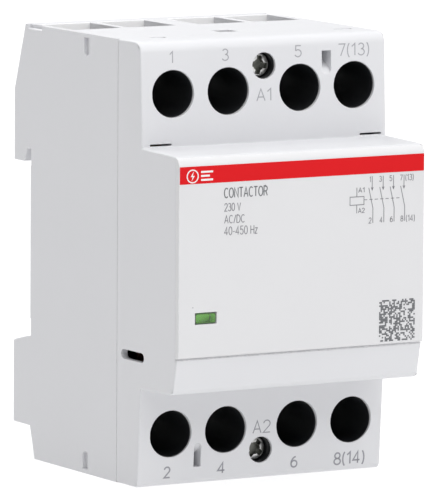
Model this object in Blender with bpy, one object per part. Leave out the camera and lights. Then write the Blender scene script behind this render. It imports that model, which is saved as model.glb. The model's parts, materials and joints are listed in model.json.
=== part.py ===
"""DIN rail contactor, 3 modules wide, 4 poles.

Frame: origin at the middle of the rail seat face, +X right, +Y to the back (to the rail), +Z up.
All sizes below are in millimetres and are turned into metres when a mesh is made.
"""
import math

import bmesh
import bpy

MM = 0.001

# envelope
HALF_W = 27.0                 # three modules of 18 mm
HALF_H = 42.5
WALL = 1.4
INNER_X = HALF_W - WALL       # inner face of the side walls
INNER_Z = HALF_H - WALL
BACK_Y = 6.6                  # back of the hook and cheeks
SEAM_Y = -34.8                # cover meets base
SEAT_STEP = 0.25              # the rail seat pad stands this far out of the back

# nose and terminal faces
PLATE_Y = -58.4               # front of the label plate
PLATE_BACK_Y = -57.3
PLATE_LOW_Z = -15.95
NOSE_TOP_Z = 22.2
NOSE_ROUND = 2.2
FACE_Y = -44.1                # terminal faces at the nose

# poles
POLE_X = (-20.0, -7.9, 7.9, 20.0)
WELL_Z = 32.5
WELL_R = 4.55
COIL_Z = 37.0
COIL_R = 2.55
POCKET_HALF = 5.4

# black linings of the wells: front face per row
LINING_FRONT = {1: -42.1, -1: -41.6}
LINING_BACK = -24.4

# main clamps
STRIP_Y = (-15.6, -14.4)      # tongue of the fixed contact inside the cage
CAGE_Y = (-17.6, -5.2)
CAGE_Z = (28.0, 37.0)
CAGE_HALF = 4.3
CAGE_WALL = 1.1
SCREW_HEAD = (-27.5, -24.7)
SCREW_HEAD_R = 4.1
SCREW_R = 2.5

# coil clamps
COIL_STRIP_Y = (-31.6, -30.8)
COIL_CAGE_Y = (-33.0, -25.9)
COIL_CAGE_Z = (34.9, 39.5)
COIL_CAGE_HALF = 2.3
COIL_HEAD_IN = 0.6            # coil screw head behind the front of its lining

# contacts
TIP_Z = 8.5
BAR_Y = (-35.2, -34.0)
FIXED_TIP_Y = -36.2
BRIDGE_Y = (-40.6, -39.5)
MOVING_TIP_Y = -38.6

# carrier
BEAM_X = 24.2
BEAM_Z = 4.2
BEAM_Y = (-49.6, -37.6)
WINDOW_Y = (-48.2, -39.3)

# magnet
ARMATURE_Y = (-26.4, -22.4)
CORE_FRONT = -19.0
CORE_BACK = -1.9
IRON_X = 17.0
IRON_Z = 7.0

# indicator
FLAG_Y = -52.4
FLAG_Z = -8.5
FLAG_R = 3.0

# rail clip
CLIP_TOP_Z = -16.0
CLIP_LOW_Z = -37.9
LUG_Z = (-33.4, -31.9)


# ---------------------------------------------------------------- helpers

def clear_scene():
    for obj in list(bpy.data.objects):
        bpy.data.objects.remove(obj)


def finish_mesh(name, bm):
    bmesh.ops.recalc_face_normals(bm, faces=bm.faces)
    mesh = bpy.data.meshes.new(name)
    bm.to_mesh(mesh)
    bm.free()
    obj = bpy.data.objects.new(name, mesh)
    bpy.context.scene.collection.objects.link(obj)
    return obj


def spot(axis, along, u, v):
    """A point: along the axis, and (u, v) in the other two axes in X, Y, Z order."""
    if axis == "X":
        return (along * MM, u * MM, v * MM)
    if axis == "Y":
        return (u * MM, along * MM, v * MM)
    return (u * MM, v * MM, along * MM)


def prism(name, axis, outline, lo, hi):
    """Closed outline drawn across an axis and drawn out along it."""
    bm = bmesh.new()
    low = [bm.verts.new(spot(axis, lo, u, v)) for u, v in outline]
    high = [bm.verts.new(spot(axis, hi, u, v)) for u, v in outline]
    n = len(outline)
    bm.faces.new(low)
    bm.faces.new(list(reversed(high)))
    for i in range(n):
        j = (i + 1) % n
        bm.faces.new((low[i], high[i], high[j], low[j]))
    return finish_mesh(name, bm)


def box(name, x, y, z):
    return prism(name, "X", [(y[0], z[0]), (y[1], z[0]), (y[1], z[1]), (y[0], z[1])], x[0], x[1])


def circle(cu, cv, r, sides, turn=0.5):
    step = 2 * math.pi / sides
    return [
        (cu + r * math.cos((i + turn) * step), cv + r * math.sin((i + turn) * step))
        for i in range(sides)
    ]


def rod(name, axis, centre, r, lo, hi, sides=24):
    return prism(name, axis, circle(centre[0], centre[1], r, sides), lo, hi)


def arc(cu, cv, r, a0, a1, steps):
    """Points on an arc, angles in degrees."""
    out = []
    for i in range(steps + 1):
        a = math.radians(a0 + (a1 - a0) * i / steps)
        out.append((cu + r * math.cos(a), cv + r * math.sin(a)))
    return out


def boolean(target, other, operation):
    mod = target.modifiers.new("work", "BOOLEAN")
    mod.operation = operation
    mod.solver = "EXACT"
    mod.object = other
    bpy.context.view_layer.objects.active = target
    bpy.ops.object.modifier_apply(modifier=mod.name)
    bpy.data.objects.remove(other)
    return target


def cut(target, *others):
    for other in others:
        boolean(target, other, "DIFFERENCE")
    return target


def add(target, *others):
    for other in others:
        boolean(target, other, "UNION")
    return target


def tidy(obj):
    """Merge what the cuts left behind and make flat regions single faces."""
    bm = bmesh.new()
    bm.from_mesh(obj.data)
    bmesh.ops.remove_doubles(bm, verts=bm.verts, dist=2e-6)
    bmesh.ops.dissolve_limit(bm, angle_limit=0.002, verts=bm.verts, edges=bm.edges)
    bmesh.ops.recalc_face_normals(bm, faces=bm.faces)
    bm.to_mesh(obj.data)
    bm.free()
    return obj


def coil_spring(name, axis, centre, lo, hi, radius, wire, turns, steps=10, sides=5):
    """Round wire wound along an axis, with one close turn at each end."""
    dead = 1.0
    total = turns + 2 * dead
    start = lo + wire
    length = (hi - wire) - start
    close = wire * 2.15
    live = length - 2 * dead * close
    rings = []
    count = int(round(total * steps))
    for i in range(count + 1):
        t = total * i / count
        if t <= dead:
            h = t * close
        elif t >= total - dead:
            h = length - (total - t) * close
        else:
            h = dead * close + (t - dead) / turns * live
        a = 2 * math.pi * t
        rings.append((h + start, a))
    bm = bmesh.new()
    loops = []
    for h, a in rings:
        ring = []
        for k in range(sides):
            b = 2 * math.pi * k / sides
            r = radius + wire * math.cos(b)
            ring.append(bm.verts.new(spot(
                axis,
                h + wire * math.sin(b),
                centre[0] + r * math.cos(a),
                centre[1] + r * math.sin(a),
            )))
        loops.append(ring)
    for one, two in zip(loops, loops[1:]):
        for k in range(sides):
            m = (k + 1) % sides
            bm.faces.new((one[k], two[k], two[m], one[m]))
    bm.faces.new(loops[0])
    bm.faces.new(list(reversed(loops[-1])))
    return finish_mesh(name, bm)


def paint(obj, colour, metallic=0.0, roughness=0.5, alpha=1.0):
    mat = bpy.data.materials.new(obj.name)
    mat.use_nodes = True
    shader = mat.node_tree.nodes["Principled BSDF"]
    shader.inputs["Base Color"].default_value = (*colour, 1.0)
    shader.inputs["Metallic"].default_value = metallic
    shader.inputs["Roughness"].default_value = roughness
    shader.inputs["Alpha"].default_value = alpha
    obj.data.materials.clear()
    obj.data.materials.append(mat)
    return obj


def shell_white(obj):
    return paint(obj, (0.80, 0.80, 0.81), 0.0, 0.45)


def black_plastic(obj):
    return paint(obj, (0.015, 0.015, 0.016), 0.0, 0.5)


def zinc(obj):
    return paint(obj, (0.62, 0.62, 0.60), 1.0, 0.35)


def copper(obj):
    return paint(obj, (0.72, 0.43, 0.28), 1.0, 0.32)


def spring_steel(obj):
    return paint(obj, (0.55, 0.55, 0.56), 1.0, 0.3)


def iron(obj):
    return paint(obj, (0.32, 0.32, 0.34), 1.0, 0.45)


def row_z(row, low, high):
    """A span of heights in the upper row (1) or mirrored in the lower row (-1)."""
    return (low, high) if row > 0 else (-high, -low)


# ---------------------------------------------------------------- cover

def cut_marker_pocket(shell, x, face, floor, row):
    """A channel with a round shallow end that runs down into the wall."""
    side = [(-46.0, row * 34.8), (face, row * 34.8), (face + 1.1, row * 36.2), (floor - 0.3, row * 37.6),
            (floor, row * 38.2), (floor, row * 39.3), (-46.0, row * 39.3)]
    tool = prism("c", "X", side, *x)
    radius = (x[1] - x[0]) / 2
    corners = box("c2", (x[0] - 0.1, x[1] + 0.1), (-47.0, floor + 1.0), row_z(row, 34.0, 34.8 + radius))
    cut(corners, rod("c3", "Y", (sum(x) / 2, row * (34.8 + radius)), radius, -48.0, floor + 2.0, 20))
    cut(tool, corners)
    cut(shell, tool)


def build_front_housing():
    # outline of the side, (y, z), from the top seam round the front to the bottom seam
    rise = math.sqrt(NOSE_ROUND ** 2 - (NOSE_ROUND - 1.2) ** 2)
    centre_y = PLATE_Y + NOSE_ROUND
    centre_z = NOSE_TOP_Z - NOSE_ROUND
    outline = [(SEAM_Y - 0.15, HALF_H)]
    outline += arc(-41.2, 40.3, 2.2, 90, 178, 5)
    outline += [(FACE_Y, 22.45)]
    outline += [(centre_y, NOSE_TOP_Z), (centre_y - 0.6, NOSE_TOP_Z - 0.085)]
    outline += [(PLATE_Y + 1.2, centre_z + rise), (PLATE_Y + 1.2, PLATE_LOW_Z - 0.15)]
    outline += [(-57.6, PLATE_LOW_Z - 0.15), (-57.75, PLATE_LOW_Z - 0.35)]
    outline += arc(-55.1, -21.6, 1.5, 192, 268, 4)
    outline += [(FACE_Y, -23.4), (-42.9, -41.6), (-42.6, -42.25), (-42.0, -HALF_H)]
    outline += [(SEAM_Y - 0.15, -HALF_H)]
    shell = prism("front_housing", "X", outline, -HALF_W, HALF_W)

    inside = [
        (-34.0, INNER_Z), (-42.4, INNER_Z), (-42.4, 20.8), (-55.8, 20.8), (-55.8, -19.5),
        (-54.6, -21.7), (-41.9, -21.7), (-41.9, -INNER_Z), (-34.0, -INNER_Z),
    ]
    cut(shell, prism("c", "X", inside, -INNER_X, INNER_X))

    # bosses behind the marker pockets, and the pockets
    add(shell, box("a", (12.4, 15.2), (-42.9, -38.9), (35.7, 40.2)))
    add(shell, box("a", (-15.0, -12.9), (-42.4, -38.4), (-40.2, -35.7)))
    cut_marker_pocket(shell, (12.9, 14.9), -43.65, -39.6, 1)
    cut_marker_pocket(shell, (-14.7, -13.2), -43.35, -39.1, -1)

    # guides for the carrier, ears for the flag
    for side in (-1, 1):
        for row in (-1, 1):
            add(shell, box("a", tuple(sorted((side * 24.5, side * (INNER_X + 0.4)))),
                           (-56.2, -35.6), row_z(row, 4.6, 5.8)))
    add(shell, box("a", (-26.0, -23.5), (-56.2, -51.0), (-10.2, -6.8)))
    add(shell, box("a", (-16.3, -15.0), (-56.2, -51.0), (-10.2, -7.0)))
    cut(shell, rod("c", "X", (FLAG_Y, FLAG_Z), 0.9, -24.8, -14.5, 16))

    # round wells
    for row in (-1, 1):
        for x in POLE_X:
            cut(shell, rod("c", "Y", (x, row * WELL_Z), WELL_R, -46.0, -41.0, 32))
        cut(shell, rod("c", "Y", (0.0, row * COIL_Z), COIL_R, -46.0, -41.0, 24))

    # long slits over the nose, window, side slot for an auxiliary block, peg holes
    cut(shell, box("c", (-25.2, -20.5), (-46, -42), (22.55, 23.15)))
    cut(shell, box("c", (21.1, 25.9), (-46, -42), (22.55, 23.15)))
    cut(shell, box("c", (-23.4, -18.6), (-59, -55), (-9.7, -7.3)))
    slot = arc(-37.4, -17.4, 0.95, -90, 90, 6) + arc(-44.4, -17.4, 0.95, 90, 270, 6)
    cut(shell, prism("c", "X", slot, -28.0, -25.0))
    for x, z in PEGS:
        cut(shell, rod("c", "Y", (x, z), 1.5, -58.0, -55.0, 16))

    # snap notches at the seam, top and bottom
    for row in (-1, 1):
        for x in SNAPS:
            cut(shell, box("c", x, (-36.25, -34.0), row_z(row, 40.6, 43.5)))
    return shell_white(tidy(shell))


PEGS = ((-14.0, 14.5), (14.0, 14.5), (-12.0, -11.0), (14.0, -11.0))
SNAPS = ((-20.4, -17.1), (20.2, 24.3))


def build_front_plate():
    cy = PLATE_Y + NOSE_ROUND
    cz = NOSE_TOP_Z - NOSE_ROUND
    outline = [(PLATE_BACK_Y, PLATE_LOW_Z), (PLATE_Y + 0.25, PLATE_LOW_Z), (PLATE_Y, PLATE_LOW_Z + 0.25)]
    outline += arc(cy, cz, NOSE_ROUND, 180, 120.0, 5)
    plate = prism("front_plate", "X", outline, -HALF_W, HALF_W)
    for x, z in PEGS:
        add(plate, rod("a", "Y", (x, z), 1.2, -57.6, -56.1, 16))
    cut(plate, box("c", (-23.35, -18.65), (-59, -57), (-9.6, -7.4)))
    return shell_white(tidy(plate))


def build_lens():
    lens = box("indicator_lens", (-23.2, -18.8), (-58.15, -56.1), (-9.45, -7.55))
    return paint(lens, (0.75, 0.8, 0.77), 0.0, 0.1, 0.35)


# ---------------------------------------------------------------- base

def build_rear_housing():
    outline = [
        (SEAM_Y, HALF_H), (SEAM_Y, -HALF_H), (-1.9, -HALF_H), (0.0, -36.2), (BACK_Y, -36.2),
        (BACK_Y, -19.9), (2.4, -18.9), (-SEAT_STEP, -18.4), (-SEAT_STEP, -15.2), (0.0, -15.2),
        (0.0, 15.0), (-SEAT_STEP, 15.0), (-SEAT_STEP, 18.2), (1.2, 18.2), (2.6, 15.5), (BACK_Y, 15.5),
        (BACK_Y, 29.3), (2.2, HALF_H),
    ]
    base = prism("rear_housing", "X", outline, -HALF_W, HALF_W)

    cut(base, box("c", (-INNER_X, INNER_X), (-36, -33.6), (-INNER_Z, INNER_Z)))
    cut(base, box("c", (-INNER_X, INNER_X), (-34, -1.6), (-23.5, 23.5)))
    for row in (-1, 1):
        cut(base, box("c", (-INNER_X, INNER_X), (-35, LINING_BACK + 0.4), row_z(row, 25.0, INNER_Z)))
        for x in POLE_X:
            wide = (x - POCKET_HALF, x + POCKET_HALF)
            cut(base, box("c", wide, (-34, -1.4), row_z(row, 25.0, INNER_Z)))
            cut(base, box("c", wide, (-14.4, -1.4), row_z(row, 40.0, 44.0)))
        # coil wire entry, and the notch that its strip crosses
        cut(base, box("c", (-2.3, 2.3), (-30.9, -26.6), row_z(row, 40.0, 44.0)))
        cut(base, box("c", (-1.6, 1.6), (-34, -30.0), row_z(row, 22.0, 26.0)))
        for side in (-1, 1):
            edge = tuple(sorted((side * 26.2, side * 28.0)))
            cut(base, box("c", edge, (-23.5, -21.4), row_z(row, 39.25, 41.7)))
            cut(base, rod("c", "X", (-22.45, row * 39.25), 1.05, *edge, 20))
        for x in SNAPS:
            add(base, box("a", (x[0] + 0.2, x[1] - 0.2), (-36.0, -34.0), row_z(row, 41.3, 42.35)))
    for side in (-1, 1):
        edge = tuple(sorted((side * 26.0, side * 28.0)))
        cut(base, box("c", edge, (-4.5, 1.1), (41.7, 44.0)))
        # seats of the return springs
        seat = tuple(sorted((side * 20.3, side * (INNER_X + 0.4))))
        add(base, box("a", seat, (-8.0, -1.0), (-2.8, 2.8)))

    # hollow backs of the upper hook and the cheeks
    for i in range(6):
        left = -25.2 + 8.6 * i
        cut(base, box("c", (left, left + 7.4), (2.6, 8.0), (19.8, 27.0)))

    # way for the rail clip, with a lug for its spring
    cut(base, box("c", (-15.0, 15.0), (0.0, 8.0), (-45.0, -17.0)))
    cut(base, box("c", (-16.8, 16.8), (0.0, 2.9), (-45.0, -17.0)))
    add(base, box("a", (-2.6, 2.6), (-1.0, 4.4), LUG_Z))
    return shell_white(tidy(base))


def build_lining(row):
    name = "terminal_insulator_top" if row > 0 else "terminal_insulator_bottom"
    front = LINING_FRONT[row]
    block = box(name, (-25.2, 25.2), (front, LINING_BACK), row_z(row, 27.0, 40.8))
    for x in POLE_X:
        cut(block, rod("c", "Y", (x, row * WELL_Z), WELL_R, front - 1, LINING_BACK + 1, 32))
    cut(block, rod("c", "Y", (0.0, row * COIL_Z), COIL_R, front - 1, -36.0, 24))
    cut(block, box("c", (-2.65, 2.65), (-36.6, -23.0), row_z(row, 34.4, 42.0)))
    cut(block, box("c", (-1.6, 1.6), (-32.2, -23.0), row_z(row, 26.0, 35.0)))
    if row > 0:
        cut(block, box("c", (12.1, 15.5), (front - 1, -38.6), (35.4, 42.0)))
    else:
        cut(block, box("c", (-15.3, -12.6), (front - 1, -38.1), (-42.0, -35.4)))
    for end in (-1, 1):
        wide = tuple(sorted((end * 24.2, end * 26.0)))
        cut(block, box("c", wide, (front - 1, -38.0), row_z(row, 39.0, 42.0)))
    return black_plastic(tidy(block))


# ---------------------------------------------------------------- terminals

def build_main_screw(number, x, row):
    z = row * WELL_Z
    screw = rod(f"terminal_screw_{number}", "Y", (x, z), SCREW_HEAD_R, *SCREW_HEAD, 24)
    add(screw, rod("a", "Y", (x, z), SCREW_R, SCREW_HEAD[1] - 0.4, STRIP_Y[0] - 0.3, 16))
    front = SCREW_HEAD[0] - 1
    deep = SCREW_HEAD[0] + 1.7
    cut(screw, box("c", (x - 2.7, x + 2.7), (front, deep), (z - 0.5, z + 0.5)))
    cut(screw, box("c", (x - 0.5, x + 0.5), (front, deep), (z - 2.7, z + 2.7)))
    return zinc(tidy(screw))


def build_main_clamp(number, x, row):
    lo, hi = CAGE_Y
    cage = box(f"cage_clamp_{number}", (x - CAGE_HALF, x + CAGE_HALF), (lo, hi), row_z(row, *CAGE_Z))
    inner = (x - CAGE_HALF + CAGE_WALL, x + CAGE_HALF - CAGE_WALL)
    cut(cage, box("c", inner, (lo + CAGE_WALL, hi - 1.4), row_z(row, 26.0, 39.0)))
    cut(cage, rod("c", "Y", (x, row * WELL_Z), SCREW_R + 0.2, lo - 1, lo + 2, 16))
    return zinc(tidy(cage))


def build_fixed_contact(number, x, row):
    s = row
    outline = [
        (STRIP_Y[1], s * 37.3), (STRIP_Y[1], s * 25.4), (BAR_Y[1], s * 25.4), (BAR_Y[1], s * 6.2),
        (BAR_Y[0], s * 6.2), (BAR_Y[0], s * 26.6), (STRIP_Y[0], s * 26.6), (STRIP_Y[0], s * 37.3),
    ]
    bar = prism(f"fixed_contact_{number}", "X", outline, x - 2.4, x + 2.4)
    add(bar, rod("a", "Y", (x, s * TIP_Z), 1.9, FIXED_TIP_Y, BAR_Y[0] + 0.4, 16))
    return copper(tidy(bar))


def build_coil_terminal(row):
    tag = "a1" if row > 0 else "a2"
    z = row * COIL_Z
    head = LINING_FRONT[row] + COIL_HEAD_IN
    screw = rod(f"coil_screw_{tag}", "Y", (0.0, z), 2.3, head, head + 1.8, 24)
    add(screw, rod("a", "Y", (0.0, z), 1.5, head + 1.4, COIL_STRIP_Y[0] - 0.3, 12))
    cut(screw, box("c", (-1.7, 1.7), (head - 1, head + 1.0), (z - 0.3, z + 0.3)))
    cut(screw, box("c", (-0.3, 0.3), (head - 1, head + 1.0), (z - 1.3, z + 1.3)))
    zinc(tidy(screw))

    lo, hi = COIL_CAGE_Y
    half = COIL_CAGE_HALF
    cage = box(f"coil_clamp_{tag}", (-half, half), (lo, hi), row_z(row, *COIL_CAGE_Z))
    cut(cage, box("c", (0.7 - half, half - 0.7), (lo + 0.8, hi - 0.9), row_z(row, 33.0, 41.0)))
    cut(cage, rod("c", "Y", (0.0, z), 1.65, lo - 1, lo + 1.5, 12))
    zinc(tidy(cage))

    s = row
    y0, y1 = COIL_STRIP_Y
    outline = [
        (y0, s * 39.8), (y0, s * 17.2), (-12.0, s * 17.2), (-12.0, s * 18.0), (y1, s * 18.0),
        (y1, s * 39.8),
    ]
    copper(prism(f"coil_contact_{tag}", "X", outline, -1.2, 1.2))


# ---------------------------------------------------------------- drive

def build_carrier():
    body = box("contact_carrier", (-BEAM_X, BEAM_X), BEAM_Y, (-BEAM_Z, BEAM_Z))
    add(body, box("a", (-17.2, 17.2), (-38.0, -29.5), (-3.6, 3.6)))
    add(body, box("a", (-19.6, 19.6), (-29.9, -26.7), (-BEAM_Z, BEAM_Z)))
    for side in (-1, 1):
        add(body, box("a", tuple(sorted((side * 17.4, side * 19.6))), (-27.2, -22.6), (-BEAM_Z, BEAM_Z)))
        add(body, box("a", tuple(sorted((side * 16.3, side * 17.8))), (-24.8, -23.9), (-1.2, 1.2)))
        add(body, box("a", tuple(sorted((side * 19.2, side * 24.7))), (-29.9, -28.3), (-2.7, 2.7)))
    for x in POLE_X:
        cut(body, box("c", (x - 3.0, x + 3.0), WINDOW_Y, (-6.0, 6.0)))
    # lug at the side slot
    add(body, box("a", (-BEAM_X, -23.2), (-46.0, -42.8), (-18.8, -3.0)))
    add(body, box("a", (-25.3, -23.2), (-45.2, -43.4), (-18.6, -16.2)))
    # fork for the flag
    add(body, box("a", (-17.9, -16.9), (-55.5, -49.0), (-5.1, -3.4)))
    add(body, box("a", (-17.9, -16.9), (-55.5, -54.6), (-7.3, -4.6)))
    add(body, box("a", (-17.9, -16.9), (-53.4, -52.5), (-7.3, -4.6)))
    return paint(tidy(body), (0.12, 0.12, 0.13), 0.0, 0.55)


def build_bridge(number, x):
    strip = box(f"contact_bridge_{number}", (x - 2.4, x + 2.4), BRIDGE_Y, (-10.4, 10.4))
    for s in (-1, 1):
        add(strip, rod("a", "Y", (x, s * TIP_Z), 1.9, BRIDGE_Y[1] - 0.4, MOVING_TIP_Y, 16))
    return copper(tidy(strip))


def build_contact_spring(number, x):
    spring = coil_spring(f"contact_spring_{number}", "Y", (x, 0.0), WINDOW_Y[0] + 0.15,
                         BRIDGE_Y[0] - 0.15, 1.7, 0.3, 4, 8, 4)
    return spring_steel(spring)


def build_armature():
    plate = box("armature", (-IRON_X, IRON_X), ARMATURE_Y, (-IRON_Z, IRON_Z))
    for side in (-1, 1):
        notch = tuple(sorted((side * 15.9, side * 18.0)))
        cut(plate, box("c", notch, (-25.1, -23.6), (-1.6, 1.6)))
    return iron(tidy(plate))


def build_core():
    core = box("magnet_core", (-IRON_X, IRON_X), (CORE_FRONT, CORE_BACK), (-IRON_Z, IRON_Z))
    for side in (-1, 1):
        gap = tuple(sorted((side * 4.0, side * 12.9)))
        cut(core, box("c", gap, (CORE_FRONT - 1, -5.7), (-8.0, 8.0)))
    return iron(tidy(core))


def build_coil():
    front, back = CORE_FRONT + 0.5, -6.0
    bobbin = box("coil_bobbin", (-5.1, 5.1), (front, back), (-8.1, 8.1))
    add(bobbin, box("a", (-12.6, 12.6), (front, front + 0.9), (-16.0, 16.0)))
    add(bobbin, box("a", (-12.6, 12.6), (back - 0.9, back), (-16.0, 16.0)))
    cut(bobbin, box("c", (-4.3, 4.3), (front - 1, back + 1), (-7.3, 7.3)))
    black_plastic(tidy(bobbin))
    wire = box("coil_winding", (-11.8, 11.8), (front + 1.2, back - 1.2), (-15.2, 15.2))
    bevel = wire.modifiers.new("rounding", "BEVEL")
    bevel.width = 2.4 * MM
    bevel.segments = 3
    bpy.context.view_layer.objects.active = wire
    bpy.ops.object.modifier_apply(modifier=bevel.name)
    cut(wire, box("c", (-5.4, 5.4), (front, back), (-8.4, 8.4)))
    paint(tidy(wire), (0.62, 0.28, 0.12), 0.6, 0.4)


def build_return_spring(side):
    name = "return_spring_right" if side > 0 else "return_spring_left"
    return spring_steel(coil_spring(name, "Y", (side * 22.4, 0.0), -28.1, -8.2, 1.75, 0.3, 6, 8, 4))


def build_board():
    board = box("rectifier_board", (-11.0, 11.0), (-17.0, -4.0), (-21.7, -20.7))
    for x in (-8.0, -3.2, 1.6, 6.4):
        add(board, box("a", (x, x + 2.6), (-15.5, -11.5), (-21.0, -19.6)))
    add(board, box("a", (-7.5, 4.5), (-9.5, -5.5), (-21.0, -19.2)))
    return paint(tidy(board), (0.05, 0.22, 0.10), 0.0, 0.5)


def build_flag():
    drum = rod("indicator_flag", "X", (FLAG_Y, FLAG_Z), FLAG_R, -23.1, -18.7, 28)
    add(drum, rod("a", "X", (FLAG_Y, FLAG_Z), 0.6, -24.6, -15.2, 12))
    add(drum, rod("a", "X", (FLAG_Y - 1.6, FLAG_Z + 1.91), 0.45, -19.5, -16.6, 12))
    return paint(tidy(drum), (0.13, 0.42, 0.07), 0.0, 0.45)


# ---------------------------------------------------------------- rail clip

def build_clip():
    clip = box("din_rail_clip", (-14.7, 14.7), (0.3, 5.6), (CLIP_LOW_Z, -18.6))
    add(clip, box("a", (-16.5, 16.5), (0.3, 2.6), (-35.5, -20.5)))
    nose = [(1.5, -19.0), (1.5, CLIP_TOP_Z), (2.3, CLIP_TOP_Z), (5.6, -17.9), (5.6, -19.0)]
    add(clip, prism("a", "X", nose, -14.7, 14.7))
    # tail with a slot for a screwdriver
    add(clip, box("a", (-6.0, 6.0), (0.3, 3.4), (-42.2, -37.0)))
    cut(clip, box("c", (-2.6, 2.6), (-1.0, 5.0), (-40.9, -39.3)))
    # window round the lug and the spring
    cut(clip, box("c", (-3.0, 3.0), (-1.0, 7.0), (LUG_Z[0] - 0.5, -22.6)))
    return paint(tidy(clip), (0.10, 0.10, 0.11), 0.0, 0.5)


def build_clip_spring():
    spring = coil_spring("clip_spring", "Z", (0.0, 2.7), LUG_Z[1] + 0.1, -22.7, 1.75, 0.3, 4, 8, 4)
    return spring_steel(spring)


def main():
    clear_scene()
    build_front_housing()
    build_front_plate()
    build_lens()
    build_rear_housing()
    for row in (1, -1):
        build_lining(row)
        build_coil_terminal(row)
    number = 0
    for x in POLE_X:
        for row in (1, -1):
            number += 1
            build_main_screw(number, x, row)
            build_main_clamp(number, x, row)
            build_fixed_contact(number, x, row)
    for i, x in enumerate(POLE_X):
        build_bridge(i + 1, x)
        build_contact_spring(i + 1, x)
    build_carrier()
    build_armature()
    build_core()
    build_coil()
    build_board()
    for side in (-1, 1):
        build_return_spring(side)
    build_flag()
    build_clip()
    build_clip_spring()


main()
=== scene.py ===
"""Looks of a three module, four pole DIN rail contactor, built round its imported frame.

Every size is in millimetres in the frame's own axes: +X right, +Y to the rail, +Z up.
"""

from __future__ import annotations

import json
import logging
import math
import random
from collections.abc import Callable, Iterator, Sequence
from contextlib import contextmanager
from dataclasses import dataclass
from enum import Enum

import bmesh
import bpy
from mathutils import Matrix, Vector

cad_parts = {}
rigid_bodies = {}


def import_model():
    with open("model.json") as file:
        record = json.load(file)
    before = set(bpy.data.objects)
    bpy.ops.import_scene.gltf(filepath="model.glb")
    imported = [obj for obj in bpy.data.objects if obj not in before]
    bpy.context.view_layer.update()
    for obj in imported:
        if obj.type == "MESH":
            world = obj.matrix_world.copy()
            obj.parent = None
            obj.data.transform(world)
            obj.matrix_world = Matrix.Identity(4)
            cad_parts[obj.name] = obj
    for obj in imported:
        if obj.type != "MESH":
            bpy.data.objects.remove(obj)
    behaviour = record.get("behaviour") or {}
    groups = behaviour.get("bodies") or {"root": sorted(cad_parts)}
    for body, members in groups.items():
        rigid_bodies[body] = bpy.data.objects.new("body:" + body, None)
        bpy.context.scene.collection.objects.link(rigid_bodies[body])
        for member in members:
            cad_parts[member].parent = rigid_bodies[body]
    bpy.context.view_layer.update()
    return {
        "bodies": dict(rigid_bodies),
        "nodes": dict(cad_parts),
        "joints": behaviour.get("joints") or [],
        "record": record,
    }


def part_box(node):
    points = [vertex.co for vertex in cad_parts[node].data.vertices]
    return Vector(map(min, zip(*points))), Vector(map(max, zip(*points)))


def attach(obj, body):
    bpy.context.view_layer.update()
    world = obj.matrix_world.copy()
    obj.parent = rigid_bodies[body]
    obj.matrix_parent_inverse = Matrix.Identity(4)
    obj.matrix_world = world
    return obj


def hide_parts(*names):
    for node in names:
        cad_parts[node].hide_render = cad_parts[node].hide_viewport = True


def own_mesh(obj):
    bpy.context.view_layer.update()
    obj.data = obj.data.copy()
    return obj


Span = tuple[float, float]
Point = tuple[float, float, float]
Colour = tuple[float, float, float]
Piece = bpy.types.Object
Socket = bpy.types.NodeSocket

MM = 0.001
NEAR = 0.02
LOG = logging.getLogger("contactor")

POLE_X = (-20.0, -7.9, 7.9, 20.0)
WELL_Z = 32.5
COIL_Z = 37.0
BODY = "housing"


class Row(Enum):
    """The upper and the lower row of terminals."""

    TOP = 1
    BOTTOM = -1

    def z(self, low: float, high: float) -> Span:
        """Gives a span of heights, turned over for the lower row."""
        return (low, high) if self is Row.TOP else (-high, -low)


class Axis(Enum):
    """An axis, with the turn that lays a primitive's own Z along it."""

    X = (0.0, math.pi / 2, 0.0)
    Y = (math.pi / 2, 0.0, 0.0)
    Z = (0.0, 0.0, 0.0)

    def point(self, along: float, u: float, v: float) -> Point:
        """Gives a point from its place along the axis and across it.

        Args:
            along: The place along the axis.
            u: The first place across it.
            v: The second place across it.

        Returns:
            The point.
        """
        if self is Axis.X:
            return (along, u, v)
        if self is Axis.Y:
            return (u, along, v)
        return (u, v, along)


# ------------------------------------------------------------------ bench


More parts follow.
